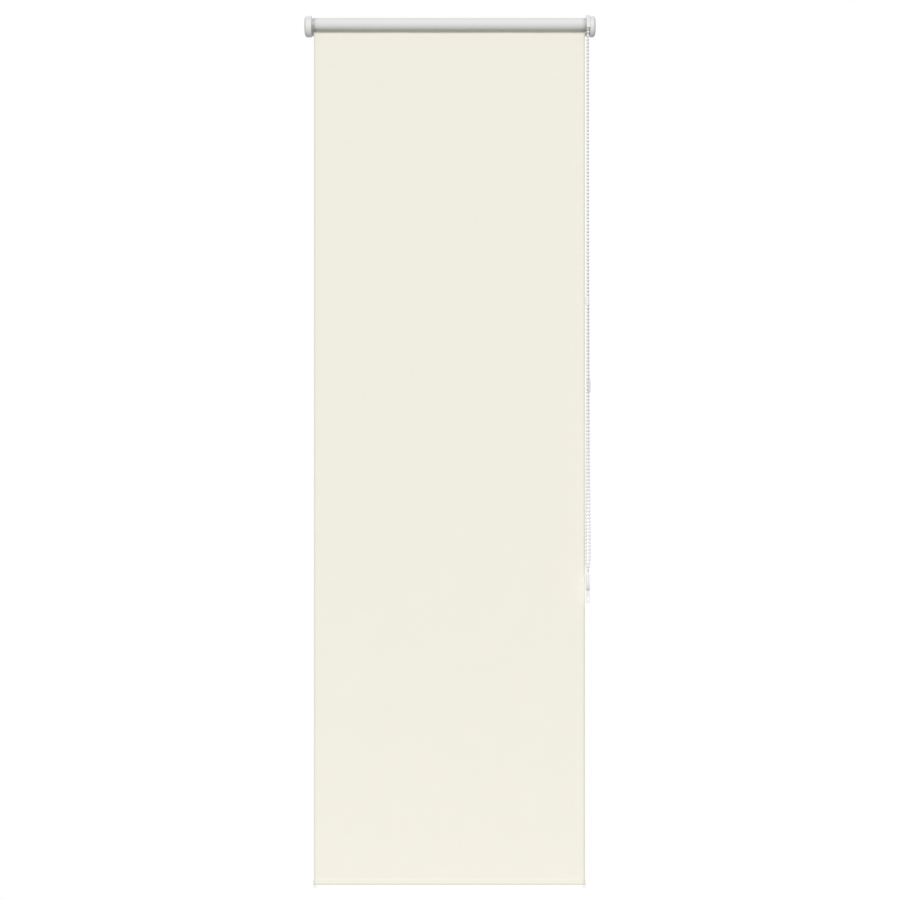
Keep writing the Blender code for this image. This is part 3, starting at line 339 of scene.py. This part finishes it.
def bead_plastic(colour):
    """Glossy white beads."""
    look = Look("bead_plastic", colour, 0.28)
    marks = look.noise(300.0, detail=2.0)
    look.set("Base Color", look.tint(colour, 0.05, marks))
    look.set("Roughness", marks * 0.15 + 0.2)
    return look.material


def string_fibre(colour):
    """Twisted polyester string between the beads, with painted shade in the grooves of its twist.
    """
    look = Look("string_fibre", colour, 0.8)
    _, _, z = look.axes()
    twist_and_groove_shade = look.math("SINE", z * (2 * math.pi / 0.0011))
    # Painted shade: the white string is darkened by up to a quarter in the grooves of its twist
    look.set("Base Color", look.tint(colour, 0.25, twist_and_groove_shade * 0.5 + 0.5))
    look.set("Normal", look.bump(twist_and_groove_shade, 0.00008, 0.6))
    return look.material


def extruded_aluminium():
    """Mill-finish tube, with drawing lines along its length."""
    colour = (0.66, 0.67, 0.68)
    look = Look("extruded_aluminium", colour, 0.72, 1.0)
    lines = look.noise(2500.0, (0.004, 1, 1), 3.0)
    clouds = look.noise(60.0, detail=3.0)
    look.set("Base Color", look.tint(colour, 0.2, lines))
    look.set("Roughness", lines * 0.1 + clouds * 0.1 + 0.62)
    look.set("Normal", look.bump(lines, 0.00002, 0.5))
    return look.material


def plated_steel():
    """Bright zinc plate, a little cloudy."""
    colour = (0.58, 0.59, 0.60)
    look = Look("plated_steel", colour, 0.3, 1.0)
    clouds = look.noise(220.0, detail=4.0)
    look.set("Base Color", look.tint(colour, 0.25, clouds))
    look.set("Roughness", clouds * 0.25 + 0.2)
    return look.material


def powder_coat():
    """White powder coat with a light orange peel and a faint random dust tint."""
    colour = (0.78, 0.78, 0.77)
    look = Look("powder_coat", colour, 0.42)
    peel = look.noise(1100.0, detail=2.0)
    dust = look.noise(40.0, detail=4.0)
    look.set("Base Color", look.tint(colour, 0.08, dust))
    look.set("Roughness", peel * 0.1 + dust * 0.1 + 0.34)
    look.set("Normal", look.bump(peel, 0.00004, 0.6))
    return look.material


def mounting_tape():
    """Double-sided tape, amber and slightly crinkled."""
    colour = (0.72, 0.66, 0.50)
    look = Look("mounting_tape", colour, 0.5)
    crinkle = look.noise(700.0, (0.3, 1, 1), 3.0)
    look.set("Base Color", look.tint(colour, 0.2, crinkle))
    look.set("Roughness", crinkle * 0.3 + 0.35)
    return look.material


LOOKS = {}


def make_looks():
    """Build each material once, from the settings."""
    scene = bpy.context.scene
    cloth, chain, fittings = scene.blind_cloth, scene.blind_chain, scene.blind_fittings
    LOOKS.update(
        cloth_front=woven_cloth("cloth_front", cloth.front_colour, cloth.thread_pitch),
        hem_front=woven_cloth("hem_front", cloth.front_colour, cloth.thread_pitch,
                              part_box("hem_pocket")[1].z - 1.1 * MM),
        cloth_back=woven_cloth("cloth_back", cloth.back_colour, cloth.thread_pitch),
        cover=moulded_plastic("cover_plastic", fittings.plastic_colour, 0.58),
        small_parts=moulded_plastic("small_white_parts", fittings.small_colour, 0.45),
        fitting=moulded_plastic("grey_fittings", fittings.fitting_colour, 0.6, 1800.0, 0.00004),
        beads=bead_plastic(chain.colour),
        string=string_fibre(chain.colour),
        hold_down=moulded_plastic("hold_down_plastic", chain.colour, 0.32, coat=0.1),
        aluminium=extruded_aluminium(),
        steel=plated_steel(),
        powder=powder_coat(),
        tape=mounting_tape(),
    )


# ------------------------------------------------------------- mesh helpers


def add_piece(name, bm, looks, body, stands_for=(), sharp=35):
    """Make an object of a bmesh, shade it and let it ride on a body."""
    mesh = bpy.data.meshes.new(name)
    bm.to_mesh(mesh)
    bm.free()
    mesh.shade_smooth()
    mesh.set_sharp_from_angle(angle=math.radians(sharp))
    for look in looks:
        mesh.materials.append(LOOKS[look])
    piece = bpy.data.objects.new(name, mesh)
    bpy.context.scene.collection.objects.link(piece)
    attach(piece, body)
    if stands_for:
        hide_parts(*stands_for)
    return piece


def tidy(bm, distance=1e-6):
    """Weld doubles and turn the faces outwards."""
    bmesh.ops.remove_doubles(bm, verts=bm.verts, dist=distance)
    bmesh.ops.recalc_face_normals(bm, faces=bm.faces)


def grow(bm, edges):
    """Extrude edges where they are; gives the new corners and the new edges."""
    made = bmesh.ops.extrude_edge_only(bm, edges=edges)["geom"]
    return ([item for item in made if isinstance(item, bmesh.types.BMVert)],
            [item for item in made if isinstance(item, bmesh.types.BMEdge)])


def draw_out(bm, face, along):
    """Extrude a face into a solid; gives the far corners."""
    made = bmesh.ops.extrude_face_region(bm, geom=[face])["geom"]
    far = [item for item in made if isinstance(item, bmesh.types.BMVert)]
    bmesh.ops.translate(bm, vec=along, verts=far)
    return far


def face_out(bm, outwards):
    """Turn an open mesh so that its faces' scores add up to more than nothing."""
    bmesh.ops.recalc_face_normals(bm, faces=bm.faces)
    if sum(outwards(face) for face in bm.faces) < 0:
        bmesh.ops.reverse_faces(bm, faces=bm.faces)


def soften(piece, width, segments=2, angle=40):
    """Round a piece's sharp edges."""
    bevel = piece.modifiers.new("soft_edges", "BEVEL")
    bevel.width = width
    bevel.segments = segments
    bevel.limit_method = "ANGLE"
    bevel.angle_limit = math.radians(angle)
    return piece


def thicken(piece, thickness, offset=0.0, back_material=None):
    solid = piece.modifiers.new("thickness", "SOLIDIFY")
    solid.thickness = thickness
    solid.offset = offset
    solid.use_even_offset = True
    if back_material is not None:
        solid.material_offset = back_material
    return piece


def add_turned(bm, profile, centre, axis="X", steps=96):
    """Spin a closed profile of (position, radius) points round a line through a centre."""
    line = Vector((1, 0, 0)) if axis == "X" else Vector((0, 0, 1))
    out = Vector((0, 1, 0))
    verts = [bm.verts.new(centre + line * position + out * radius)
             for position, radius in profile]
    edges = [bm.edges.new((a, b)) for a, b in zip(verts, verts[1:] + verts[:1])]
    bmesh.ops.spin(bm, geom=verts + edges, cent=centre, axis=line, dvec=(0, 0, 0),
                   angle=2 * math.pi, steps=steps, use_merge=True, use_duplicate=False)


def rounded(profile, radius, steps=3):
    """Round the corners of a closed (position, radius) profile."""
    points = [Vector(point) for point in profile]
    made = []
    for i, corner in enumerate(points):
        before, after = points[i - 1], points[(i + 1) % len(points)]
        reach = min(radius, (before - corner).length * 0.45, (after - corner).length * 0.45)
        a = corner + (before - corner).normalized() * reach
        b = corner + (after - corner).normalized() * reach
        for j in range(steps + 1):
            t = j / steps
            point = a * (1 - t) ** 2 + corner * 2 * t * (1 - t) + b * t**2
            made.append((point.x, point.y))
    return made


def turned_piece(name, profile, looks, body, stands_for, round_off, steps, centre, axis="X"):
    """A piece turned from a profile with its corners rounded."""
    bm = bmesh.new()
    add_turned(bm, rounded(profile, round_off), centre, axis, steps)
    tidy(bm)
    return add_piece(name, bm, looks, body, stands_for)


def merged_copy(node, name, look, width, segments=2):
    """A welded copy of a frame node with its edges softened, which stands for the node."""
    bm = bmesh.new()
    bm.from_mesh(NODES[node].data)
    bmesh.ops.remove_doubles(bm, verts=bm.verts, dist=1e-6)
    for face in bm.faces:
        face.material_index = 0
    body = NODES[node]["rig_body"]
    piece = add_piece(name, bm, [look], body, [node])
    return soften(piece, width, segments)


def dress(node, look):
    """Give a frame node that stays as it is its finished material."""
    NODES[node].data.materials.clear()
    NODES[node].data.materials.append(LOOKS[look])


def smooth_route(route, step):
    """Points of a Catmull-Rom curve through a route, at most a step apart."""
    knots = [Vector(point) for point in route]
    points = []
    for i in range(len(knots) - 1):
        before = knots[max(i - 1, 0)]
        a, b = knots[i], knots[i + 1]
        after = knots[min(i + 2, len(knots) - 1)]
        span = (b - a).length
        slope_a = (b - before) * (span / max((b - a).length + (a - before).length, 1e-9))
        slope_b = (after - a) * (span / max((after - b).length + (b - a).length, 1e-9))
        pieces = max(1, math.ceil(span / step))
        for j in range(pieces):
            t = j / pieces
            points.append(
                a * (2 * t**3 - 3 * t**2 + 1) + slope_a * (t**3 - 2 * t**2 + t)
                + b * (3 * t**2 - 2 * t**3) + slope_b * (t**3 - t**2))
    points.append(knots[-1])
    return points


# ---------------------------------------------------------------- operators


class BLIND_OT_stage(bpy.types.Operator):
    """Set the camera, the soft light and the floor"""

    bl_idname = "blind.stage"
    bl_label = "Stage"

    def execute(self, context):
        stage = context.scene.blind_stage
        scene = context.scene
        scene.view_settings.view_transform = "Standard"
        data = bpy.data.cameras.new("camera")
        data.sensor_width = 36.0
        distance = stage.camera_distance + AXIS.y
        data.lens = data.sensor_width * distance / stage.frame_width
        data.clip_end = 100.0
        camera = bpy.data.objects.new("camera", data)
        camera.location = (0, -stage.camera_distance, stage.camera_height)
        camera.rotation_euler = (math.pi / 2, 0, 0)
        scene.collection.objects.link(camera)
        scene.camera = camera

        world = bpy.data.worlds.new("even_sky")
        world.use_nodes = True
        nodes, links = world.node_tree.nodes, world.node_tree.links
        sky = nodes["Background"]
        sky.inputs["Color"].default_value = (1, 1, 1, 1)
        sky.inputs["Strength"].default_value = stage.sky_strength
        paper = nodes.new("ShaderNodeBackground")
        paper.inputs["Strength"].default_value = 1.0
        paper.inputs["Color"].default_value = (1, 1, 1, 1)
        mix = nodes.new("ShaderNodeMixShader")
        rays = nodes.new("ShaderNodeLightPath")
        links.new(rays.outputs["Is Camera Ray"], mix.inputs[0])
        links.new(sky.outputs[0], mix.inputs[1])
        links.new(paper.outputs[0], mix.inputs[2])
        links.new(mix.outputs[0], nodes["World Output"].inputs[0])
        scene.world = world

        self.sun(scene, "key", stage.key_strength, 12, KEY_TURN)
        self.sun(scene, "rear", stage.rear_strength, 60, REAR_TURN)

        bm = bmesh.new()
        bmesh.ops.create_grid(bm, x_segments=1, y_segments=1, size=1.0)
        bmesh.ops.scale(bm, vec=(0.9, 0.5, 1), verts=bm.verts)
        bmesh.ops.translate(bm, vec=(0, -0.1, stage.floor_height), verts=bm.verts)
        mesh = bpy.data.meshes.new("floor")
        bm.to_mesh(mesh)
        bm.free()
        pale = Look("pale_floor", (0.86, 0.86, 0.86), 0.7)
        pale.set("Roughness", pale.noise(30.0) * 0.1 + 0.65)
        mesh.materials.append(pale.material)
        floor = bpy.data.objects.new("floor", mesh)
        scene.collection.objects.link(floor)
        return {"FINISHED"}

    def sun(self, scene, name, strength, spread, turn):
        """A far lamp that looks a number of degrees wide."""
        light = bpy.data.lights.new(name, "SUN")
        light.energy = strength
        light.angle = math.radians(spread)
        lamp = bpy.data.objects.new(name, light)
        lamp.rotation_euler = turn
        scene.collection.objects.link(lamp)


class BLIND_OT_chain(bpy.types.Operator):
    """Thread the bead chain through its loop"""

    bl_idname = "blind.chain"
    bl_label = "Bead Chain"

    def execute(self, context):
        chain = context.scene.blind_chain
        path = smooth_route(CHAIN_ROUTE, 1.5 * MM)
        reach = [0.0]
        for a, b in zip(path, path[1:]):
            reach.append(reach[-1] + (b - a).length)
        length = reach[-1]
        count = round(length / chain.bead_pitch)
        pitch = length / count
        string = self.string_mesh(path, chain.string_radius)
        bm = bmesh.new()
        bm.from_mesh(string)
        bpy.data.meshes.remove(string)
        for face in bm.faces:
            face.material_index = 1
        bead = self.bead_mesh(chain.bead_radius)
        at = 0
        for i in range(count):
            target = (i + 0.5) * pitch
            while reach[at + 1] < target:
                at += 1
            share = (target - reach[at]) / (reach[at + 1] - reach[at])
            centre = path[at].lerp(path[at + 1], share)
            along = (path[at + 1] - path[at]).normalized()
            turn = along.to_track_quat("Z", "Y").to_matrix().to_4x4()
            placed = bead.copy()
            placed.transform(Matrix.Translation(centre) @ turn)
            bm.from_mesh(placed)
            bpy.data.meshes.remove(placed)
        beads = add_piece("bead_chain_loop", bm, ["beads", "string"], "chain_loop",
                          ["bead_chain"], sharp=80)
        connector = self.clasp("chain_connector", "chain_connector_clasp", 3)
        joiner = self.clasp("safety_joiner", "safety_joiner_clasp", 4)
        CHAIN_FACTS.update(piece=beads, length=length, path=path, clasps=[connector, joiner])
        return {"FINISHED"}

    def bead_mesh(self, radius):
        """One bead, with its poles on the string."""
        bm = bmesh.new()
        bmesh.ops.create_uvsphere(bm, u_segments=12, v_segments=8, radius=radius)
        mesh = bpy.data.meshes.new("bead")
        bm.to_mesh(mesh)
        bm.free()
        return mesh

    def string_mesh(self, path, radius):
        """The string as a thin tube along the whole path."""
        curve = bpy.data.curves.new("string", "CURVE")
        curve.dimensions = "3D"
        curve.bevel_depth = radius
        curve.bevel_resolution = 1
        curve.use_fill_caps = True
        spline = curve.splines.new("POLY")
        kept = path[::2] + ([path[-1]] if len(path) % 2 == 0 else [])
        spline.points.add(len(kept) - 1)
        for target, source in zip(spline.points, kept):
            target.co = (*source, 1)
        drawn = bpy.data.objects.new("string", curve)
        bpy.context.scene.collection.objects.link(drawn)
        bpy.context.view_layer.update()
        seen = drawn.evaluated_get(bpy.context.evaluated_depsgraph_get())
        mesh = bpy.data.meshes.new_from_object(seen)
        bpy.data.objects.remove(drawn, do_unlink=True)
        return mesh

    def clasp(self, node, name, grooves):
        """A snap-together sleeve round the chain, with shallow grip grooves."""
        low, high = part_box(node)
        centre = (low + high) / 2
        half = (high.z - low.z) / 2
        radius = (high.x - low.x) / 2
        wall, nose, taper, groove = 0.75 * MM, 0.7 * MM, 0.9 * MM, 0.25 * MM
        bore = radius - wall
        outer = [(half, radius - nose), (half - taper, radius)]
        first = half - 2.2 * MM
        for i in range(grooves):
            middle = first - i * 2 * first / (grooves - 1)
            outer += [(middle + 2 * groove, radius), (middle + groove, radius - groove),
                      (middle - groove, radius - groove), (middle - 2 * groove, radius)]
        outer += [(taper - half, radius), (-half, radius - nose)]
        profile = [(half, bore)] + outer + [(-half, bore)]
        return turned_piece(name, profile, ["hold_down"], "chain_loop", [node],
                            0.12 * MM, 36, centre, "Z")


class BLIND_OT_cloth(bpy.types.Operator):
    """Hang the cloth and wind what is left of it on the tube"""

    bl_idname = "blind.cloth"
    bl_label = "Cloth"

    def execute(self, context):
        cloth = context.scene.blind_cloth
        sheet = self.hang(cloth)
        roll = self.wind(cloth)
        hem = self.hem(cloth)
        return {"FINISHED"}

    def hang(self, cloth):
        """The hanging cloth, with its top turned over the roll."""
        low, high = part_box("shade_cloth")
        middle = (low + high) / 2
        width, drop = high.x - low.x, -low.z
        bm = bmesh.new()
        columns, rows = 96, 220
        bmesh.ops.create_grid(bm, x_segments=columns, y_segments=rows, size=0.5)
        bmesh.ops.scale(bm, vec=(width, drop, 1), verts=bm.verts)
        bmesh.ops.rotate(bm, cent=(0, 0, 0), matrix=Matrix.Rotation(math.pi / 2, 3, "X"),
                         verts=bm.verts)
        bmesh.ops.translate(bm, vec=(middle.x, middle.y, -drop / 2), verts=bm.verts)
        for vert in bm.verts:
            vert.co.y += self.give(cloth, vert.co, low, high)
        edge = [e for e in bm.edges if e.is_boundary and all(abs(v.co.z) < 1e-6 for v in e.verts)]
        turn = Matrix.Rotation(math.radians(4), 3, "X")
        for _ in range(3):
            verts, edge = grow(bm, edge)
            bmesh.ops.rotate(bm, cent=AXIS, matrix=turn, verts=verts)
        face_out(bm, lambda face: -face.normal.y)
        sheet = add_piece("cloth_sheet", bm, ["cloth_front", "cloth_back"], "wall_fixings",
                          ["shade_cloth"], sharp=60)
        thicken(sheet, cloth.thickness, back_material=1)
        1 - LIFT / drop
        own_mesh(sheet)
        return sheet

    def give(self, cloth, point, low, high):
        """How far the cloth stands off its flat plane at a point."""
        down = -point.z
        drop = -low.z
        free = math.sin(math.pi * min(1.0, max(0.0, down / drop))) ** 0.5
        across = (point.x - low.x) / (high.x - low.x)
        waves = sum(share * math.sin(2 * math.pi * (across * count + phase) + down * slope)
                    for count, phase, slope, share in WAVES)
        margin = 12 * MM
        curl = 0.0
        for gap, share in ((point.x - low.x, 1.0), (high.x - point.x, 0.6)):
            if gap < margin:
                curl += share * (1 - gap / margin) ** 2
        top_fade, hem_fade = 60 * MM, 30 * MM
        fade = min(1.0, down / top_fade) * min(1.0, (drop - down) / hem_fade)
        return cloth.ripple * waves * free + cloth.edge_curl * curl * fade

    def wind(self, cloth):
        """The turns left on the tube, wound with the reverse outwards."""
        low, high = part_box("cloth_roll")
        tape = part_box("cloth_tape")
        inner = tape[1].z - AXIS.z + cloth.thickness
        outer = high.z - AXIS.z - cloth.thickness * 0.9
        self.mean_radius = (inner + outer) / 2
        bm = bmesh.new()
        start = bmesh.ops.create_grid(bm, x_segments=60, y_segments=1, size=0.5)["verts"]
        bmesh.ops.delete(bm, geom=[v for v in start if v.co.y > 0], context="VERTS")
        for vert in bm.verts:
            along = low.x + (vert.co.x + 0.5) * (high.x - low.x)
            vert.co = Vector((along, AXIS.y + inner, AXIS.z))
        edge = list(bm.edges)
        steps = 96
        turn = Matrix.Rotation(2 * math.pi / steps, 3, "X")
        total = steps * cloth.roll_turns
        growth = (outer / inner) ** (1 / total)
        for _ in range(total):
            verts, edge = grow(bm, edge)
            bmesh.ops.rotate(bm, cent=AXIS, matrix=turn, verts=verts)
            bmesh.ops.scale(bm, vec=(1, growth, growth), verts=verts,
                            space=Matrix.Translation(-AXIS))
        face_out(bm, lambda face: face.normal.dot(face.calc_center_median() - AXIS))
        roll = add_piece("wound_cloth", bm, ["cloth_back", "cloth_front"], "roller",
                         ["cloth_roll"], sharp=60)
        return thicken(roll, cloth.thickness, back_material=1)

    def hem(self, cloth):
        """The welded pocket at the bottom, drawn round the bar."""
        low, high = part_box("hem_pocket")
        middle = (low + high) / 2
        half_depth = (high.y - low.y - cloth.thickness) / 2
        flat = 0.45 * MM
        bottom = low.z + cloth.thickness / 2
        belly = 3.2 * MM
        height = high.z + 5.5 * MM - bottom
        bm = bmesh.new()
        heights = [belly * (1 - math.cos(math.pi / 2 * i / 8)) for i in range(8)]
        heights += [belly + (height - belly) * i / 18 for i in range(19)]
        front = []
        for up in heights:
            if up < belly:
                swell = math.sqrt(1 - (1 - up / belly) ** 2)
            else:
                swell = (1 + math.cos(math.pi * (up - belly) / (height - belly))) / 2
                swell = swell + flat / half_depth * (1 - swell)
            front.append((half_depth * swell, bottom + up))
        outline = [(-out, up) for out, up in front[1:]] + [(out, up) for out, up in front[::-1]]
        section = [bm.verts.new((low.x, middle.y + out, up)) for out, up in outline]
        steps = len(section)
        ring = [bm.edges.new((section[i], section[(i + 1) % steps])) for i in range(steps)]
        pieces = 80
        edge = ring
        for _ in range(pieces):
            verts, edge = grow(bm, edge)
            bmesh.ops.translate(bm, vec=((high.x - low.x) / pieces, 0, 0), verts=verts)
        for vert in bm.verts:
            pucker = math.sin(vert.co.x * 2 * math.pi / 0.011) * math.sin(vert.co.x * 37)
            above_weld = (vert.co.z - bottom) / (high.z - bottom) - 0.85
            vert.co.y += 0.06 * MM * pucker * math.exp(-(above_weld / 0.12) ** 2)
        face_out(bm, lambda face: face.normal.y * (face.calc_center_median().y - middle.y))
        hem = add_piece("hem_pocket_cloth", bm, ["hem_front", "cloth_back"], "bottom_rail",
                        ["hem_pocket"], sharp=60)
        return thicken(hem, cloth.thickness, back_material=1)


class BLIND_OT_covers(bpy.types.Operator):
    """Mould the two bracket covers"""

    bl_idname = "blind.covers"
    bl_label = "Bracket Covers"

    def execute(self, context):
        for node, name, side in (("idle_bracket_cover", "left_cover", -1),
                                 ("control_bracket_cover", "right_cover", 1)):
            self.mould(context.scene.blind_fittings, node, name, side)
        return {"FINISHED"}

    def mould(self, fittings, node, name, side):
        """A domed shell, drawn towards +X and mirrored for the left side."""
        low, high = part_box(node)
        radius = (high.z - low.z) / 2
        middle = Vector((0, AXIS.y, (high.z + low.z) / 2))
        rim, outer = (low.x, high.x) if side > 0 else (-high.x, -low.x)
        past = fittings.cover_fillet * 2
        bm = bmesh.new()
        steps = 60
        corners = [Vector((rim - past, past, middle.z + radius))]
        for i in range(steps + 1):
            angle = math.pi * (0.5 + i / steps)
            corners.append(Vector((rim - past, middle.y + radius * math.cos(angle),
                                   middle.z + radius * math.sin(angle))))
        corners.append(Vector((rim - past, past, middle.z - radius)))
        face = bm.faces.new([bm.verts.new(corner) for corner in corners])
        draw_out(bm, face, (outer - fittings.cover_dome - (rim - past), 0, 0))
        bmesh.ops.recalc_face_normals(bm, faces=bm.faces)
        front = max(bm.faces, key=lambda f: f.calc_center_median().x)
        bmesh.ops.bevel(bm, geom=list(front.edges), offset=fittings.cover_fillet, segments=8,
                        profile=0.5, affect="EDGES", material=-1)
        front = max(bm.faces, key=lambda f: f.calc_center_median().x)
        for share, rise in ((0.2, 0.3), (0.3, 0.3), (0.5, 0.25), (0.6, 0.15)):
            bmesh.ops.inset_region(bm, faces=[front], thickness=fittings.cover_fillet * share,
                                   depth=fittings.cover_dome * rise)
        self.slice(bm, Vector((rim, 0, 0)), (-1, 0, 0))
        self.slice(bm, Vector((0, high.y, 0)), (0, 1, 0))
        if side < 0:
            bmesh.ops.scale(bm, vec=(-1, 1, 1), verts=bm.verts)
            bmesh.ops.reverse_faces(bm, faces=bm.faces)
        cover = add_piece(name, bm, ["cover"], "wall_fixings", [node], sharp=40)
        thicken(cover, fittings.cover_wall, -1)
        return soften(cover, 0.25 * MM, 2, 60)

    def slice(self, bm, point, normal):
        """Cut away what lies past a plane."""
        geometry = list(bm.verts) + list(bm.edges) + list(bm.faces)
        bmesh.ops.bisect_plane(bm, geom=geometry, plane_co=point, plane_no=normal,
                               clear_outer=True)


class BLIND_OT_brackets(bpy.types.Operator):
    """Finish the two wall brackets and the idle bracket's bush"""

    bl_idname = "blind.brackets"
    bl_label = "Brackets"

    def execute(self, context):
        radius = context.scene.blind_fittings.edge_radius
        merged_copy("idle_bracket", "left_wall_bracket", "powder", radius)
        merged_copy("control_bracket", "right_wall_bracket", "powder", radius)
        low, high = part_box("idle_pin_bush")
        neck_radius = (high.z - low.z) / 2
        bore, barrel, plate = 2.8 * MM, 4.6 * MM, 2.3 * MM
        plate_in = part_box("idle_bracket")[0].x + plate
        profile = [(high.x, bore), (high.x, neck_radius - 1.0 * MM),
                   (high.x - 0.4 * MM, neck_radius - 0.7 * MM), (high.x - 0.6 * MM, neck_radius),
                   (plate_in, neck_radius), (plate_in, barrel), (low.x, barrel), (low.x, bore)]
        turned_piece("pin_bush", profile, ["cover"], "wall_fixings",
                     ["idle_pin_bush"], 0.2 * MM, 64, AXIS)
        return {"FINISHED"}


class BLIND_OT_clutch(bpy.types.Operator):
    """Build the chain guard and the cogged sprocket"""

    bl_idname = "blind.clutch"
    bl_label = "Chain Clutch"

    def execute(self, context):
        merged_copy("clutch_housing", "chain_guard", "cover",
                    context.scene.blind_fittings.edge_radius, 3)
        self.sprocket(context.scene.blind_chain)
        for node, look in (("clutch_spindle", "fitting"), ("spindle_clip", "steel"),
                           ("clutch_screw", "steel"), ("wrap_spring_inner", "steel"),
                           ("wrap_spring_outer", "steel")):
            dress(node, look)
        merged_copy("tube_adapter", "tube_adapter_soft", "fitting", 0.2 * MM)
        return {"FINISHED"}

    def sprocket(self, chain):
        """A grooved wheel whose low ribs part the beads and stay clear of them as it turns."""
        low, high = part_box("chain_sprocket")
        pitch_radius = chain.bead_pitch * chain.pockets / (2 * math.pi)
        wide = chain.bead_radius
        middle = high.x - wide
        inner_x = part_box("tube_adapter")[1].x + chain.sprocket_clearance
        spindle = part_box("clutch_spindle")[1].z - AXIS.z
        bore = spindle + chain.sprocket_clearance
        sleeve_bore = spindle + chain.spring_room
        sleeve = sleeve_bore + chain.sleeve_wall

        def groove(radius):
            """Points (x, radius) across a channel that is hollowed to a radius round the beads."""
            offsets = [wide * (1 - i / 4) for i in range(9)]
            return [(middle + offset, pitch_radius - math.sqrt(radius**2 - offset**2))
                    for offset in offsets]

        pocket = chain.bead_radius + chain.pocket_depth
        profile = [(high.x, bore)] + groove(pocket) + [
            (inner_x, sleeve), (low.x, sleeve), (low.x, sleeve_bore),
            (inner_x, sleeve_bore), (inner_x, bore)]
        bm = bmesh.new()
        add_turned(bm, profile, AXIS, steps=72)
        foot = pitch_radius - pocket - chain.sprocket_clearance
        outline = groove(chain.bead_radius + chain.bead_clearance)
        outline += [(middle - wide, foot), (middle + wide, foot)]
        first_rib = math.radians(1)
        for i in range(chain.pockets):
            near = [bm.verts.new((x, AXIS.y - chain.rib_width / 2, AXIS.z + radius))
                    for x, radius in outline]
            far = draw_out(bm, bm.faces.new(near), (0, chain.rib_width, 0))
            turn = Matrix.Rotation(first_rib + 2 * math.pi * i / chain.pockets, 3, "X")
            bmesh.ops.rotate(bm, cent=AXIS, verts=near + far, matrix=turn)
        tidy(bm)
        return add_piece("cogged_sprocket", bm, ["fitting"], "roller",
                         ["chain_sprocket"])


class BLIND_OT_idle_end(bpy.types.Operator):
    """Finish the tube, its end plug and the sprung pin"""

    bl_idname = "blind.idle_end"
    bl_label = "Tube and Idle End"

    def execute(self, context):
        merged_copy("idle_end_plug", "end_plug", "fitting", 0.2 * MM)
        for node, look in (("roller_tube", "aluminium"), ("cloth_tape", "tape"),
                           ("spring_seat", "small_parts"), ("idle_pin", "steel")):
            dress(node, look)
        self.spring(context.scene.blind_fittings)
        return {"FINISHED"}

    def spring(self, fittings):
        """The pin's compression spring, as long as the frame's spring it stands for."""
        low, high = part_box("pin_spring")
        wire, turns = fittings.spring_wire, fittings.spring_turns
        radius = (high.z - low.z) / 2 - wire
        bm = bmesh.new()
        start = Vector((low.x + wire, AXIS.y + radius, AXIS.z))
        ring = bmesh.ops.create_circle(bm, radius=wire, segments=10)["verts"]
        bmesh.ops.translate(bm, vec=start, verts=ring)
        steps = turns * 28
        rise = (high.x - low.x - 2 * wire) / steps
        bmesh.ops.spin(bm, geom=ring + list(bm.edges), cent=AXIS, axis=(1, 0, 0),
                       dvec=(rise, 0, 0), angle=2 * math.pi * turns, steps=steps, use_merge=False)
        bmesh.ops.holes_fill(bm, edges=[e for e in bm.edges if e.is_boundary], sides=0)
        tidy(bm)
        spring = add_piece("pin_coil_spring", bm, ["steel"], "roller",
                           ["pin_spring"])
        length = high.x - low.x
        1 - PIN_TRAVEL / length
        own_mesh(spring)


class BLIND_OT_rail(bpy.types.Operator):
    """Finish the hem's bar and its two end caps"""

    bl_idname = "blind.rail"
    bl_label = "Bottom Rail"

    def execute(self, context):
        dress("weight_bar", "steel")
        for node, name in (("rail_cap_left", "hem_cap_left"), ("rail_cap_right", "hem_cap_right")):
            merged_copy(node, name, "small_parts", 0.22 * MM, 3)
        return {"FINISHED"}


class BLIND_OT_hold_down(bpy.types.Operator):
    bl_idname = "blind.hold_down"
    bl_label = "Chain Hold-down"

    def execute(self, context):
        shells = [merged_copy("tensioner_shell_" + side, "hold_down_" + side, "hold_down",
                              0.4 * MM, 3) for side in ("left", "right")]
        dress("tensioner_screw", "steel")
        dress("tensioner_wheel", "small_parts")
        pieces = CHAIN_FACTS["clasps"] + shells
        pieces += [NODES["tensioner_screw"], NODES["tensioner_wheel"]]
        return {"FINISHED"}


class BLIND_PT_panel(bpy.types.Panel):
    """Lists the blind's pieces and settings"""

    bl_idname = "BLIND_PT_panel"
    bl_label = "Roller Blind"
    bl_space_type = "VIEW_3D"
    bl_region_type = "UI"
    bl_category = "Roller Blind"

    def draw(self, context):
        column = self.layout.column(align=True)
        for operator in OPERATORS:
            column.operator(operator.bl_idname)
        for name, _ in SETTINGS:
            box = self.layout.box()
            settings = getattr(context.scene, name)
            box.label(text=settings.bl_rna.name)
            for key in settings.__annotations__:
                box.prop(settings, key)


OPERATORS = (BLIND_OT_stage, BLIND_OT_chain, BLIND_OT_cloth, BLIND_OT_covers, BLIND_OT_brackets,
             BLIND_OT_clutch, BLIND_OT_idle_end, BLIND_OT_rail, BLIND_OT_hold_down)
SETTINGS = (("blind_cloth", ClothSettings), ("blind_chain", ChainSettings),
            ("blind_fittings", FittingSettings), ("blind_stage", StageSettings))


def register():
    for name, group in SETTINGS:
        bpy.utils.register_class(group)
        setattr(bpy.types.Scene, name, bpy.props.PointerProperty(type=group))
    for operator in OPERATORS:
        bpy.utils.register_class(operator)
    bpy.utils.register_class(BLIND_PT_panel)


def unregister():
    bpy.utils.unregister_class(BLIND_PT_panel)
    for operator in reversed(OPERATORS):
        bpy.utils.unregister_class(operator)
    for name, group in reversed(SETTINGS):
        delattr(bpy.types.Scene, name)
        bpy.utils.unregister_class(group)


def main():
    """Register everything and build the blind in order."""
    register()
    make_looks()
    for operator in OPERATORS:
        getattr(bpy.ops.blind, operator.bl_idname.split(".")[1])()


if __name__ == "__main__":
    main()
